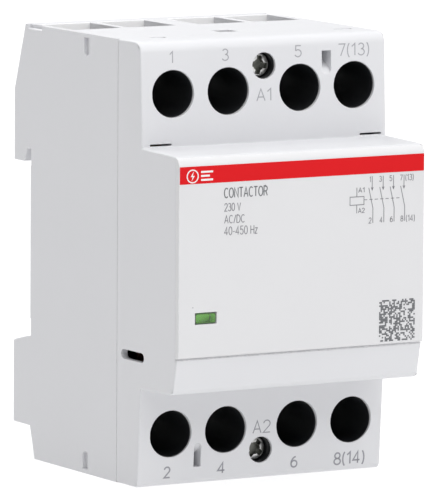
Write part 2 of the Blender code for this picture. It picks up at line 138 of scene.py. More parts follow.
class Bench:
    """Hand tools for modelling. Each leaves the piece in object mode."""

    nodes: dict[str, Piece] = {}

    @staticmethod
    def hold(*pieces: Piece) -> None:
        """Selects only these pieces and makes the first one active.

        Args:
            *pieces: The pieces to select.
        """
        if bpy.context.object and bpy.context.object.mode != "OBJECT":
            bpy.ops.object.mode_set(mode="OBJECT")
        bpy.ops.object.select_all(action="DESELECT")
        for piece in pieces:
            piece.select_set(True)
        if pieces:
            bpy.context.view_layer.objects.active = pieces[0]

    @staticmethod
    @contextmanager
    def editing(piece: Piece, kind: str = "FACE") -> Iterator[bmesh.types.BMesh]:
        """Opens a piece in edit mode with nothing selected.

        Args:
            piece: The piece to edit.
            kind: What is selected: VERT, EDGE or FACE.

        Yields:
            The mesh, open for editing.
        """
        Bench.hold(piece)
        bpy.ops.object.mode_set(mode="EDIT")
        bpy.ops.mesh.select_mode(type=kind)
        bpy.ops.mesh.select_all(action="DESELECT")
        yield bmesh.from_edit_mesh(piece.data)
        bpy.ops.object.mode_set(mode="OBJECT")

    @staticmethod
    def settle(piece: Piece) -> Piece:
        """Puts a piece's place, turn and scale into its mesh.

        Args:
            piece: The piece.

        Returns:
            The same piece.
        """
        Bench.hold(piece)
        bpy.ops.object.transform_apply(location=True, rotation=True, scale=True)
        return piece

    @staticmethod
    def block(name: str, x: Span, y: Span, z: Span) -> Piece:
        """Adds a block between two corners.

        Args:
            name: The piece's name.
            x: Where it starts and ends along X.
            y: The same along Y.
            z: The same along Z.

        Returns:
            The block.
        """
        Bench.hold()
        middle = [sum(s) / 2 * MM for s in (x, y, z)]
        size = [(s[1] - s[0]) * MM for s in (x, y, z)]
        bpy.ops.mesh.primitive_cube_add(size=1.0, location=middle, scale=size)
        bpy.context.object.name = name
        return Bench.settle(bpy.context.object)

    @staticmethod
    def rod(
        name: str, axis: Axis, centre: Span, radius: float, along: Span, sides: int = 32
    ) -> Piece:
        """Adds a round rod along an axis.

        Args:
            name: The piece's name.
            axis: The rod's axis.
            centre: Its place across the axis.
            radius: Its radius.
            along: Where it starts and ends.
            sides: How many flats stand for the round.

        Returns:
            The rod.
        """
        Bench.hold()
        place = [c * MM for c in axis.point(sum(along) / 2, *centre)]
        bpy.ops.mesh.primitive_cylinder_add(
            vertices=sides, radius=radius * MM, depth=(along[1] - along[0]) * MM,
            location=place, rotation=axis.value,
        )
        bpy.context.object.name = name
        return Bench.settle(bpy.context.object)

    @staticmethod
    def line(name: str, points: Sequence[Point]) -> Piece:
        """Draws a chain of edges by pulling one vertex from point to point.

        Args:
            name: The piece's name.
            points: The points in order.

        Returns:
            The chain of edges.
        """
        Bench.hold()
        bpy.ops.mesh.primitive_plane_add(size=MM, location=[c * MM for c in points[0]])
        piece = Bench.settle(bpy.context.object)
        piece.name = name
        with Bench.editing(piece, "VERT"):
            bpy.ops.mesh.select_all(action="SELECT")
            bpy.ops.mesh.merge(type="CENTER")
            for one, two in zip(points, points[1:]):
                step = [(b - a) * MM for a, b in zip(one, two)]
                bpy.ops.mesh.extrude_region_move(TRANSFORM_OT_translate={"value": step})
        return piece

    @staticmethod
    def bar(name: str, axis: Axis, outline: Sequence[Span], along: Span) -> Piece:
        """Draws a closed outline across an axis and pulls it out along the axis.

        Args:
            name: The piece's name.
            axis: The axis it is pulled along.
            outline: Points across the axis, in order.
            along: Where it starts and ends.

        Returns:
            The closed bar.
        """
        piece = Bench.line(name, [axis.point(along[0], u, v) for u, v in outline])
        pull = [c * MM for c in axis.point(along[1] - along[0], 0.0, 0.0)]
        with Bench.editing(piece, "VERT"):
            bpy.ops.mesh.select_all(action="SELECT")
            bpy.ops.mesh.edge_face_add()
            bpy.ops.mesh.extrude_region_move(TRANSFORM_OT_translate={"value": pull})
            bpy.ops.mesh.select_all(action="SELECT")
            bpy.ops.mesh.normals_make_consistent(inside=False)
        return piece

    @staticmethod
    def lathe(name: str, profile: Sequence[Span], steps: int = 48) -> Piece:
        """Turns a profile round the Y axis.

        Args:
            name: The piece's name.
            profile: (radius, place along Y) pairs, from one end to the other.
            steps: Flats in a full turn.

        Returns:
            A closed round piece on the Y axis.
        """
        piece = Bench.line(name, [(r, along, 0.0) for r, along in profile])
        with Bench.editing(piece, "VERT"):
            bpy.ops.mesh.select_all(action="SELECT")
            bpy.ops.mesh.spin(steps=steps, angle=2 * math.pi, center=(0, 0, 0), axis=(0, 1, 0))
            bpy.ops.mesh.select_all(action="SELECT")
            bpy.ops.mesh.remove_doubles(threshold=2e-6)
            bpy.ops.mesh.normals_make_consistent(inside=False)
        return piece

    @staticmethod
    def copy_node(node: str, name: str) -> Piece:
        """Copies a frame node's mesh and merges it into clean, flat faces.

        Args:
            node: The frame node's name.
            name: The new piece's name.

        Returns:
            The new piece.
        """
        piece = bpy.data.objects.new(name, Bench.nodes[node].data.copy())
        bpy.context.scene.collection.objects.link(piece)
        piece.data.materials.clear()
        Bench.hold(piece)
        bpy.ops.mesh.customdata_custom_splitnormals_clear()
        with Bench.editing(piece, "VERT"):
            bpy.ops.mesh.select_all(action="SELECT")
            bpy.ops.mesh.remove_doubles(threshold=3e-6)
            bpy.ops.mesh.dissolve_limited(angle_limit=math.radians(0.5))
            bpy.ops.mesh.quads_convert_to_tris(quad_method="BEAUTY", ngon_method="BEAUTY")
        return piece

    @staticmethod
    def boolean(piece: Piece, tool: Piece, operation: str) -> Piece:
        """Cuts or adds one piece to another and removes the tool.

        Args:
            piece: The piece.
            tool: The piece to cut or add with.
            operation: DIFFERENCE or UNION.

        Returns:
            The same piece.
        """
        work = piece.modifiers.new("work", "BOOLEAN")
        work.operation = operation
        work.solver = "EXACT"
        work.object = tool
        Bench.hold(piece)
        bpy.ops.object.modifier_apply(modifier=work.name)
        bpy.data.objects.remove(tool)
        return piece

    @staticmethod
    def cut(piece: Piece, *tools: Piece) -> Piece:
        """Cuts tools out of a piece.

        Args:
            piece: The piece.
            *tools: What is cut away, in order.

        Returns:
            The same piece.
        """
        for tool in tools:
            Bench.boolean(piece, tool, "DIFFERENCE")
        return piece

    @staticmethod
    def add(piece: Piece, *others: Piece) -> Piece:
        """Fuses other pieces into a piece.

        Args:
            piece: The piece.
            *others: What is fused on, in order.

        Returns:
            The same piece.
        """
        for other in others:
            Bench.boolean(piece, other, "UNION")
        return piece

    @staticmethod
    def join(*pieces: Piece) -> Piece:
        """Makes several pieces one object, named as the first.

        Args:
            *pieces: The pieces, the one that stays first.

        Returns:
            The first piece.
        """
        Bench.hold(*pieces)
        bpy.ops.object.join()
        return pieces[0]

    @staticmethod
    def shift_points(piece: Piece, test: Callable[[Vector], bool], along_y: float) -> Piece:
        """Moves the points that pass a test along Y.

        Args:
            piece: The piece.
            test: A test on a point, in millimetres.
            along_y: How far the points move.

        Returns:
            The same piece.
        """
        with Bench.editing(piece, "VERT") as mesh:
            for vertex in mesh.verts:
                vertex.select_set(test(vertex.co / MM))
            bmesh.update_edit_mesh(piece.data)
            bpy.ops.transform.translate(value=(0, along_y * MM, 0))
        return piece

    @staticmethod
    def round_edges(
        piece: Piece,
        width: float,
        steps: int = 2,
        where: Callable[[Vector, Vector], bool] | None = None,
        sharp: float = 30.0,
    ) -> Piece:
        """Rounds a piece's sharp edges.

        Args:
            piece: The piece.
            width: The rounding's width.
            steps: Facets in the rounding.
            where: A test on an edge's two ends, in millimetres.
            sharp: The least angle between faces that counts, in degrees.

        Returns:
            The same piece.
        """
        with Bench.editing(piece, "EDGE") as mesh:
            for edge in mesh.edges:
                ends = [vertex.co / MM for vertex in edge.verts]
                hard = edge.calc_face_angle(0.0) > math.radians(sharp)
                if hard and (where is None or where(*ends)):
                    edge.select_set(True)
            bmesh.update_edit_mesh(piece.data)
            bpy.ops.mesh.bevel(
                offset=width * MM, segments=steps, affect="EDGES", clamp_overlap=False
            )
        return piece

    @staticmethod
    def move_copy(piece: Piece, name: str, shift: Point, turn: float = 0.0) -> Piece:
        """Copies a piece with its own mesh, turned about Y and then moved.

        Args:
            piece: The pattern.
            name: The copy's name.
            shift: How far it moves.
            turn: Degrees about the Y axis through the origin.

        Returns:
            The copy.
        """
        Bench.hold(piece)
        bpy.ops.object.duplicate(linked=False)
        copy = bpy.context.object
        copy.name = name
        copy.rotation_euler = (0.0, math.radians(turn), 0.0)
        copy.location = [c * MM for c in shift]
        return Bench.settle(copy)

    @staticmethod
    def dress(piece: Piece, finishes: Sequence[bpy.types.Material], angle: float = 35.0) -> Piece:
        """Gives a piece its materials and smooths it up to an angle.

        Args:
            piece: The piece.
            finishes: Its materials, in the order of their numbers.
            angle: The greatest angle that is smoothed, in degrees.

        Returns:
            The same piece.
        """
        if not len(piece.data.materials):
            for finish in finishes:
                piece.data.materials.append(finish)
        Bench.hold(piece)
        bpy.ops.object.shade_smooth_by_angle(angle=math.radians(angle))
        even = piece.modifiers.new("even", "WEIGHTED_NORMAL")
        even.weight = 100
        even.keep_sharp = True
        bpy.ops.object.modifier_apply(modifier=even.name)
        return piece

    @staticmethod
    def paint_faces(piece: Piece, index: int, test: Callable[[Vector], bool]) -> None:
        """Gives one of a piece's materials to the faces whose middle passes a test.

        Args:
            piece: The piece.
            index: The material's number.
            test: A test on a face's middle, in millimetres.
        """
        for face in piece.data.polygons:
            if test(face.center / MM):
                face.material_index = index


def fit(piece: Piece, body: str, slot: str, *nodes: str) -> Piece:
    """Puts a finished piece on its body.

    Args:
        piece: The finished piece.
        body: The body it rides on.
        slot: The material slot it belongs to; not used.
        *nodes: The frame nodes it stands for.

    Returns:
        The same piece.
    """
    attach(piece, body)
    if nodes:
        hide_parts(*nodes)
    LOG.info("%s: %d faces on %s", piece.name, len(piece.data.polygons), body)
    return piece


# ------------------------------------------------------------------ shader trees


class Tree:
    """A node tree and short ways to add to it."""

    def __init__(self, tree: bpy.types.NodeTree) -> None:
        """Wraps a tree."""
        self.tree = tree

    def add(
        self, kind: str, inputs: dict[str | int, object] | None = None, **settings: object
    ) -> bpy.types.ShaderNode:
        """Adds a node.

        Args:
            kind: The node's type.
            inputs: Socket values or sockets to link, by name or number.
            **settings: The node's own properties.

        Returns:
            The node.
        """
        node = self.tree.nodes.new(kind)
        for key, value in settings.items():
            setattr(node, key, value)
        for key, value in (inputs or {}).items():
            if isinstance(value, bpy.types.NodeSocket):
                self.tree.links.new(value, node.inputs[key])
            else:
                node.inputs[key].default_value = value
        return node

    def sum(self, operation: str, a: object, b: object = 0.0, clamp: bool = False) -> Socket:
        """Adds a Math node."""
        node = self.add("ShaderNodeMath", {0: a, 1: b}, operation=operation, use_clamp=clamp)
        return node.outputs[0]

    def noise(self, place: Socket, scale: float | Socket, detail: float = 2.0) -> Socket:
        """Adds a noise texture and gives its value.

        Args:
            place: The pattern's place.
            scale: How fine it is.
            detail: How many finer layers it has.

        Returns:
            The value.
        """
        return self.add(
            "ShaderNodeTexNoise", {"Vector": place, "Scale": scale, "Detail": detail}
        ).outputs["Fac"]

    def span(
        self, value: Socket, low: object, high: object, start: float = 0.0, end: float = 1.0
    ) -> Socket:
        """Maps a value from one range to another, with clamping.

        Args:
            value: The value to map.
            low: What start turns into.
            high: What end turns into.
            start: The value's first bound.
            end: Its second bound.

        Returns:
            The mapped value.
        """
        return self.add(
            "ShaderNodeMapRange",
            {"Value": value, "From Min": start, "From Max": end, "To Min": low, "To Max": high},
        ).outputs["Result"]

    def mix(self, factor: object, a: object, b: object) -> Socket:
        """Mixes two colours.

        Args:
            factor: How much of the second colour shows.
            a: The first colour or its socket.
            b: The second colour or its socket.

        Returns:
            The mixed colour.
        """
        node = self.add("ShaderNodeMix", data_type="RGBA")
        for socket, value in ((node.inputs[0], factor), (node.inputs[6], a), (node.inputs[7], b)):
            if isinstance(value, bpy.types.NodeSocket):
                self.tree.links.new(value, socket)
            elif socket.type == "RGBA":
                socket.default_value = (*value, 1.0)
            else:
                socket.default_value = value
        return node.outputs[2]

    def stretch(self, place: Socket, scale: Point) -> Socket:
        """Scales a pattern's place along each axis."""
        return self.add("ShaderNodeMapping", {"Vector": place, "Scale": scale}).outputs[0]


class Effect:
    """A shared effect as a shader node group, made once."""

    made: dict[str, bpy.types.NodeTree] = {}

    @classmethod
    def group(
        cls,
        name: str,
        inputs: dict[str, tuple[str, object]],
        outputs: dict[str, str],
        fill: Callable[[Tree, dict[str, Socket]], dict[str, Socket]],
    ) -> bpy.types.NodeTree:
        """Makes a group or gives the one already made.

        Args:
            name: The group's name.
            inputs: Socket type and value by name.
            outputs: Socket type by name.
            fill: Builds the inside and gives the sockets for the outputs.

        Returns:
            The group's tree.
        """
        if name in cls.made:
            return cls.made[name]
        made = bpy.data.node_groups.new(name, "ShaderNodeTree")
        for key, (kind, value) in inputs.items():
            socket = made.interface.new_socket(key, in_out="INPUT", socket_type=kind)
            if value is not None:
                socket.default_value = value
        for key, kind in outputs.items():
            made.interface.new_socket(key, in_out="OUTPUT", socket_type=kind)
        tree = Tree(made)
        entry = tree.add("NodeGroupInput")
        ends = fill(tree, {key: entry.outputs[key] for key in inputs})
        tree.add("NodeGroupOutput", dict(ends))
        cls.made[name] = made
        return made

    @classmethod
    def mould_grain(cls) -> bpy.types.NodeTree:
        """Fine spark-eroded skin of a moulding, with slow tone and gloss changes.

        Returns:
            The group.
        """

        def fill(tree: Tree, into: dict[str, Socket]) -> dict[str, Socket]:
            """Builds the group.

            Args:
                tree: The group's tree.
                into: Its input sockets by name.

            Returns:
                The sockets for its outputs.
            """
            place = into["Place"]
            fine = tree.noise(place, into["Scale"], 3.0)
            coarse = tree.noise(place, tree.sum("MULTIPLY", into["Scale"], 0.21), 1.0)
            slow = tree.noise(place, 55.0, 1.0)
            height = tree.sum("ADD", fine, tree.sum("MULTIPLY", coarse, 0.6))
            tone = tree.sum("ADD", slow, tree.sum("MULTIPLY", fine, 0.25))
            tone = tree.sum("SUBTRACT", tone, 0.62)
            gloss = tree.sum("SUBTRACT", coarse, 0.5)
            return {
                "Height": tree.sum("MULTIPLY", height, into["Depth"]),
                "Tone": tree.sum("MULTIPLY", tone, into["Variation"]),
                "Gloss": tree.sum("MULTIPLY", gloss, into["Unevenness"]),
            }

        return cls.group(
            "mould_grain",
            {
                "Place": ("NodeSocketVector", None),
                "Scale": ("NodeSocketFloat", 6000.0),
                "Depth": ("NodeSocketFloat", 1.0),
                "Variation": ("NodeSocketFloat", 0.05),
                "Unevenness": ("NodeSocketFloat", 0.1),
            },
            {"Height": "NodeSocketFloat", "Tone": "NodeSocketFloat", "Gloss": "NodeSocketFloat"},
            fill,
        )

    @classmethod
    def edge_highlight_and_wear(cls) -> bpy.types.NodeTree:
        """A mask of the edges for a painted edge highlight, from the turn between the real and a
        rounded normal.

        Returns:
            The group.
        """

        def fill(tree: Tree, into: dict[str, Socket]) -> dict[str, Socket]:
            """Builds the group.

            Args:
                tree: The group's tree.
                into: Its input sockets by name.

            Returns:
                The sockets for its outputs.
            """
            soft = tree.add("ShaderNodeBevel", {"Radius": into["Radius"]}, samples=4).outputs[0]
            plain = tree.add("ShaderNodeNewGeometry").outputs["Normal"]
            turn = tree.add(
                "ShaderNodeVectorMath", {0: soft, 1: plain}, operation="DOT_PRODUCT"
            ).outputs["Value"]
            mask = tree.span(turn, 1.0, 0.0, 0.86, 0.995)
            # Noise breaks the painted edge highlight up, as wear would.
            broken = tree.noise(into["Place"], 1400.0, 3.0)
            highlight_wear_breakup = tree.span(broken, 0.0, 1.0, 0.35, 0.6)
            return {"Mask": tree.sum("MULTIPLY", mask, highlight_wear_breakup, True)}

        return cls.group(
            "edge_highlight_and_wear",
            {"Place": ("NodeSocketVector", None), "Radius": ("NodeSocketFloat", 0.0003)},
            {"Mask": "NodeSocketFloat"},
            fill,
        )

    @classmethod
    def drawn_metal(cls) -> bpy.types.NodeTree:
        """Fine drawing lines, cloudy plating and small scratches of a metal part.

        Returns:
            The group.
        """

        def fill(tree: Tree, into: dict[str, Socket]) -> dict[str, Socket]:
            """Builds the group.

            Args:
                tree: The group's tree.
                into: Its input sockets by name.

            Returns:
                The sockets for its outputs.
            """
            lines = tree.noise(tree.stretch(into["Place"], (300.0, 7000.0, 7000.0)), 1.0, 3.0)
            cloud = tree.noise(into["Place"], 420.0, 4.0)
            scratch = tree.add(
                "ShaderNodeTexVoronoi",
                {"Vector": tree.stretch(into["Place"], (2600.0, 900.0, 1700.0)), "Scale": 1.0},
                feature="DISTANCE_TO_EDGE",
            ).outputs["Distance"]
            cuts = tree.span(scratch, 1.0, 0.0, 0.0, 0.03)
            height = tree.sum("SUBTRACT", lines, tree.sum("MULTIPLY", cuts, 0.7))
            dull = tree.span(cloud, -0.09, 0.12, 0.3, 0.7)
            rough = tree.sum("ADD", dull, tree.sum("MULTIPLY", cuts, 0.08))
            stain = tree.span(cloud, 0.0, 1.0, 0.38, 0.66)
            return {"Height": height, "Cloud": stain, "Rough": rough}

        return cls.group(
            "drawn_metal",
            {"Place": ("NodeSocketVector", None)},
            {"Height": "NodeSocketFloat", "Cloud": "NodeSocketFloat", "Rough": "NodeSocketFloat"},
            fill,
        )


class Recipe(Tree):
    """A material on one Principled shader, with its pattern in object place."""

    def __init__(self, name: str) -> None:
        """Starts an empty material.

        Args:
            name: The material's name.
        """
        self.material = bpy.data.materials.new(name)
        self.material.use_nodes = True
        super().__init__(self.material.node_tree)
        self.tree.nodes.clear()
        self.shader = self.add("ShaderNodeBsdfPrincipled")
        self.add("ShaderNodeOutputMaterial", {"Surface": self.shader.outputs[0]})
        self.place = self.add("ShaderNodeTexCoord").outputs["Object"]

    def effect(
        self, made: bpy.types.NodeTree, **values: object
    ) -> bpy.types.bpy_prop_collection:
        """Places a shared effect with its own values.

        Args:
            made: The effect's group.
            **values: Input values by name.

        Returns:
            The effect's outputs.
        """
        node = self.tree.nodes.new("ShaderNodeGroup")
        node.node_tree = made
        self.tree.links.new(self.place, node.inputs["Place"])
        for key, value in values.items():
            node.inputs[key].default_value = value
        return node.outputs

    def finish(
        self, colour: object, rough: object, height: Socket | None = None, depth: float = 0.02,
        **plain: object,
    ) -> bpy.types.Material:
        """Feeds the shader.

        Args:
            colour: A colour or a colour socket.
            rough: A roughness or a socket.
            height: The relief's height.
            depth: How far the relief stands, in millimetres.
            **plain: Other shader inputs, with _ for a space.

        Returns:
            The material.
        """
        values: dict[str, object] = {"Base Color": colour, "Roughness": rough}
        values.update({key.replace("_", " "): value for key, value in plain.items()})
        for key, value in values.items():
            if isinstance(value, bpy.types.NodeSocket):
                self.tree.links.new(value, self.shader.inputs[key])
            else:
                full = (*value, 1.0) if key == "Base Color" else value
                self.shader.inputs[key].default_value = full
        if height is not None:
            bump = self.add("ShaderNodeBump", {"Height": height, "Distance": depth * MM})
            self.tree.links.new(bump.outputs[0], self.shader.inputs["Normal"])
        return self.material


@dataclass(frozen=True)
class Moulding:
    """A moulded plastic: its colour, gloss, skin, edges painted lighter as a highlight, and any
    painted glow.
    """

    name: str
    colour: Colour
    # The lighter colour mixed in at the edges: a painted highlight.
    edge: Colour
    rough: float = 0.45
    scale: float = 6000.0
    depth: float = 0.012
    variation: float = 0.05
    unevenness: float = 0.12
    edge_radius: float = 0.0003
    # Emission strength: a painted glow that makes the part look lit.
    painted_glow: float = 0.0

    def make(self) -> bpy.types.Material:
        """Builds the material.

        Returns:
            The material.
        """
        recipe = Recipe(self.name)
        grain = recipe.effect(
            Effect.mould_grain(), Scale=self.scale, Variation=self.variation,
            Unevenness=self.unevenness,
        )
        # Edges are painted lighter in colour: a painted highlight, broken up like wear.
        edge = recipe.effect(Effect.edge_highlight_and_wear(), Radius=self.edge_radius)
        darker = tuple(c * 0.8 for c in self.colour)
        factor = recipe.sum("ADD", grain["Tone"], 0.5)
        lighter = tuple(min(1.0, c * 1.2) for c in self.colour)
        base = recipe.mix(factor, darker, lighter)
        base = recipe.mix(edge["Mask"], base, self.edge)
        rough = recipe.sum("ADD", grain["Gloss"], self.rough, True)
        # The emission is a painted glow.
        return recipe.finish(
            base, rough, grain["Height"], self.depth, Emission_Strength=self.painted_glow
        )


@dataclass(frozen=True)
class Ink:
    """A pad printed ink, thin and slightly uneven."""

    name: str
    colour: Colour
    rough: float = 0.38
    shine: float = 0.5
    depth: float = 0.004

    def make(self) -> bpy.types.Material:
        """Builds the material.

        Returns:
            The material.
        """
        recipe = Recipe(self.name)
        grain = recipe.effect(Effect.mould_grain(), Scale=9000.0, Variation=0.12, Unevenness=0.1)
        factor = recipe.sum("ADD", grain["Tone"], 0.5)
        thin, dense = (tuple(c * part for c in self.colour) for part in (0.85, 1.15))
        base = recipe.mix(factor, thin, dense)
        rough = recipe.sum("ADD", grain["Gloss"], self.rough, True)
        return recipe.finish(
            base, rough, grain["Height"], self.depth, Specular_IOR_Level=self.shine
        )


@dataclass(frozen=True)
class Metal:
    """A bare or plated metal."""

    name: str
    colour: Colour
    stain: Colour
    rough: float = 0.32
    depth: float = 0.006

    def make(self) -> bpy.types.Material:
        """Builds the material.

        Returns:
            The material.
        """
        recipe = Recipe(self.name)
        drawn = recipe.effect(Effect.drawn_metal())
        # Edges are painted brighter in colour: a painted highlight, broken up like wear.
        edge = recipe.effect(Effect.edge_highlight_and_wear(), Radius=0.00025)
        base = recipe.mix(drawn["Cloud"], self.colour, self.stain)
        bright = tuple(min(1.0, c * 1.25) for c in self.colour)
        base = recipe.mix(edge["Mask"], base, bright)
        rough = recipe.sum("ADD", drawn["Rough"], self.rough, True)
        return recipe.finish(base, rough, drawn["Height"], self.depth, Metallic=1.0)


@dataclass(frozen=True)
class Layers:
    """Stacked iron sheet or wound wire: lines at an even pitch along one axis."""

    name: str
    colour: Colour
    groove: Colour
    axis: str
    pitch: float
    depth: float
    metallic: float
    rough: float

    def make(self) -> bpy.types.Material:
        """Builds the material.

        Returns:
            The material.
        """
        recipe = Recipe(self.name)
        drawn = recipe.effect(Effect.drawn_metal())
        parts = recipe.add("ShaderNodeSeparateXYZ", {0: recipe.place})
        wander = recipe.sum("MULTIPLY", recipe.noise(recipe.place, 300.0), 0.00006)
        along = recipe.sum("ADD", parts.outputs[self.axis], wander)
        phase = recipe.sum("MULTIPLY", along, 2 * math.pi / (self.pitch * MM))
        wave = recipe.span(recipe.sum("SINE", phase), 0.0, 1.0, -1.0, 0.2)
        base = recipe.mix(wave, self.groove, recipe.mix(drawn["Cloud"], self.colour, self.groove))
        rough = recipe.sum("ADD", drawn["Rough"], self.rough, True)
        height = recipe.sum("ADD", wave, recipe.sum("MULTIPLY", drawn["Height"], 0.1))
        return recipe.finish(base, rough, height, self.depth, Metallic=self.metallic)


@dataclass(frozen=True)
class BoardSkin:
    """Circuit board laminate with copper tracks under green lacquer."""

    name: str = "board_lacquer"

    def make(self) -> bpy.types.Material:
        """Builds the material.

        Returns:
            The material.
        """
        recipe = Recipe(self.name)
        grain = recipe.effect(Effect.mould_grain(), Scale=5000.0, Variation=0.1, Unevenness=0.08)
        cells = recipe.noise(recipe.place, 330.0, 0.0)
        track = recipe.span(cells, 0.0, 1.0, 0.5, 0.52)
        base = recipe.mix(track, (0.02, 0.13, 0.05), (0.05, 0.26, 0.10))
        height = recipe.sum("ADD", track, recipe.sum("MULTIPLY", grain["Height"], 0.1))
        return recipe.finish(base, 0.25, height, 0.03)


@dataclass(frozen=True)
class ClearWindow:
    """Clear moulded window plastic."""

    name: str = "window_clear"

    def make(self) -> bpy.types.Material:
        """Builds the material.

        Returns:
            The material.
        """
        recipe = Recipe(self.name)
        ripple = recipe.noise(recipe.place, 700.0, 1.0)
        rough = recipe.span(recipe.noise(recipe.place, 2500.0), 0.03, 0.09)
        return recipe.finish(
            (0.9, 0.95, 0.9), rough, ripple, 0.01, Alpha=0.06, IOR=1.49
        )


Finish = Moulding | Ink | Metal | Layers | BoardSkin | ClearWindow


def painted(finish: Finish) -> bpy.types.Material:
    """Gives a finish's material, made the first time it is asked for."""
    return bpy.data.materials.get(finish.name) or finish.make()


SHELL = Moulding("shell_white", (0.687, 0.690, 0.712), (0.785, 0.785, 0.804), 0.44, 5200.0, 0.010)
# A lighter copy of the shell that also glows: painted light for the wire entries' back walls, which
# lie in shade.
SHELL_PAINTED_LIGHT = Moulding(
    "shell_painted_light", (0.93, 0.93, 0.95), (0.95, 0.95, 0.96), 0.44, 5200.0, 0.010, painted_glow=0.13
)
PLATE = Moulding(
    "label_plate_white", (0.684, 0.684, 0.698), (0.765, 0.765, 0.774), 0.36, 6500.0, 0.006
)
LINING = Moulding("lining_black", (0.014, 0.015, 0.017), (0.05, 0.05, 0.055), 0.4, 4800.0, 0.012)
BOBBIN = Moulding("bobbin_black", (0.02, 0.02, 0.022), (0.06, 0.06, 0.065), 0.36, 4300.0, 0.010)
SLIDER = Moulding("carrier_brown", (0.10, 0.045, 0.025), (0.17, 0.09, 0.06), 0.42, 3800.0, 0.014)
CLIP = Moulding("clip_grey", (0.42, 0.43, 0.44), (0.52, 0.53, 0.54), 0.4, 5000.0, 0.010)
FLAG_BODY = Moulding("flag_ivory", (0.70, 0.68, 0.62), (0.8, 0.78, 0.72), 0.45, 5500.0, 0.008)
FLAG_GREEN = Moulding("flag_green", (0.27, 0.90, 0.07), (0.32, 0.92, 0.12), 0.4, 5500.0, 0.006)
FLAG_RED = Moulding("flag_red", (0.62, 0.03, 0.02), (0.7, 0.08, 0.05), 0.4, 5500.0, 0.006)
# Dark green for the lens's front rim: painted shade at the window's edge.
WINDOW_SHADE_RIM = Moulding("window_rim_painted_shade", (0.05, 0.11, 0.035), (0.09, 0.17, 0.06), 0.3, 6000.0, 0.004)
CHIP_BLACK = Moulding(
    "component_black", (0.02, 0.02, 0.022), (0.07, 0.07, 0.07), 0.35, 4000.0, 0.010
)
CHIP_BLUE = Moulding("component_blue", (0.03, 0.09, 0.30), (0.08, 0.16, 0.4), 0.3, 4000.0, 0.008)
WINDOW_SIDE = Metal("window_side", (0.88, 0.93, 0.88), (0.86, 0.91, 0.86), 0.10)
ZINC = Metal("zinc_plate", (0.64, 0.65, 0.66), (0.50, 0.50, 0.49), 0.30)
COIL_ZINC = Metal("coil_screw_zinc", (0.80, 0.81, 0.81), (0.66, 0.66, 0.64), 0.42)
RECESS = Metal("drive_recess", (0.34, 0.345, 0.32), (0.20, 0.205, 0.185), 0.5)
COPPER = Metal("contact_copper", (0.80, 0.46, 0.30), (0.55, 0.30, 0.19), 0.30)
SILVER = Metal("contact_silver", (0.86, 0.85, 0.82), (0.66, 0.64, 0.60), 0.28)
WIRE_STEEL = Metal("spring_wire", (0.50, 0.50, 0.51), (0.36, 0.35, 0.34), 0.28)
IRON = Layers(
    "magnet_laminations", (0.32, 0.31, 0.30), (0.09, 0.08, 0.075), "X", 0.5, 0.05, 1.0, 0.42
)
WINDING = Layers(
    "coil_winding", (0.42, 0.15, 0.06), (0.10, 0.03, 0.015), "Z", 0.28, 0.08, 0.35, 0.34
)
RED_INK = Ink("band_red", (0.66, 0.006, 0.010), 0.5, 0.15)
PALE_INK = Ink("number_grey", (0.36, 0.36, 0.39), 0.45)
NUMBER_INK = Ink("number_grey_low", (0.29, 0.29, 0.32), 0.45)
GREY_INK = Ink("print_grey", (0.22, 0.22, 0.24), 0.45, 0.3)
DARK_INK = Ink("print_dark", (0.15, 0.155, 0.165), 0.45, 0.3)
WHITE_INK = Ink("print_white", (0.82, 0.82, 0.82), 0.42)


# ------------------------------------------------------------------ mouldings


def softened(node: str, name: str, width: float, sharp: float = 40.0) -> Piece:
    """Copies a frame node and breaks all its sharp edges.

    Args:
        node: The frame node.
        name: The new piece's name.
        width: The rounding's width.
        sharp: The least angle between faces that counts, in degrees.

    Returns:
        The new piece.
    """
    piece = Bench.copy_node(node, name)
    return Bench.round_edges(piece, width, 2, None, sharp)


@dataclass(frozen=True)
class Face:
    """A leaning terminal face: two (height, place along Y) points on it."""

    one: Span
    two: Span

    @property
    def slope(self) -> float:
        """How far the face moves along Y for each millimetre of height."""
        return (self.two[1] - self.one[1]) / (self.two[0] - self.one[0])

    def at(self, z: float) -> float:
        """Gives the face's place along Y at a height."""
        return self.one[1] + self.slope * (z - self.one[0])

    def lay(self, piece: Piece) -> Piece:
        """Lays a print that was made on the plane Y = 0 on this face.

        Args:
            piece: The print.

        Returns:
            The same print.
        """
        piece.rotation_euler = (-math.atan(self.slope), 0.0, 0.0)
        piece.location = (0.0, self.at(0.0) * MM, 0.0)
        return Bench.settle(piece)


UPPER_FACE = Face((40.3, -43.4), (22.45, -44.1))
LOWER_FACE = Face((-41.6, -42.9), (-23.4, -44.1))


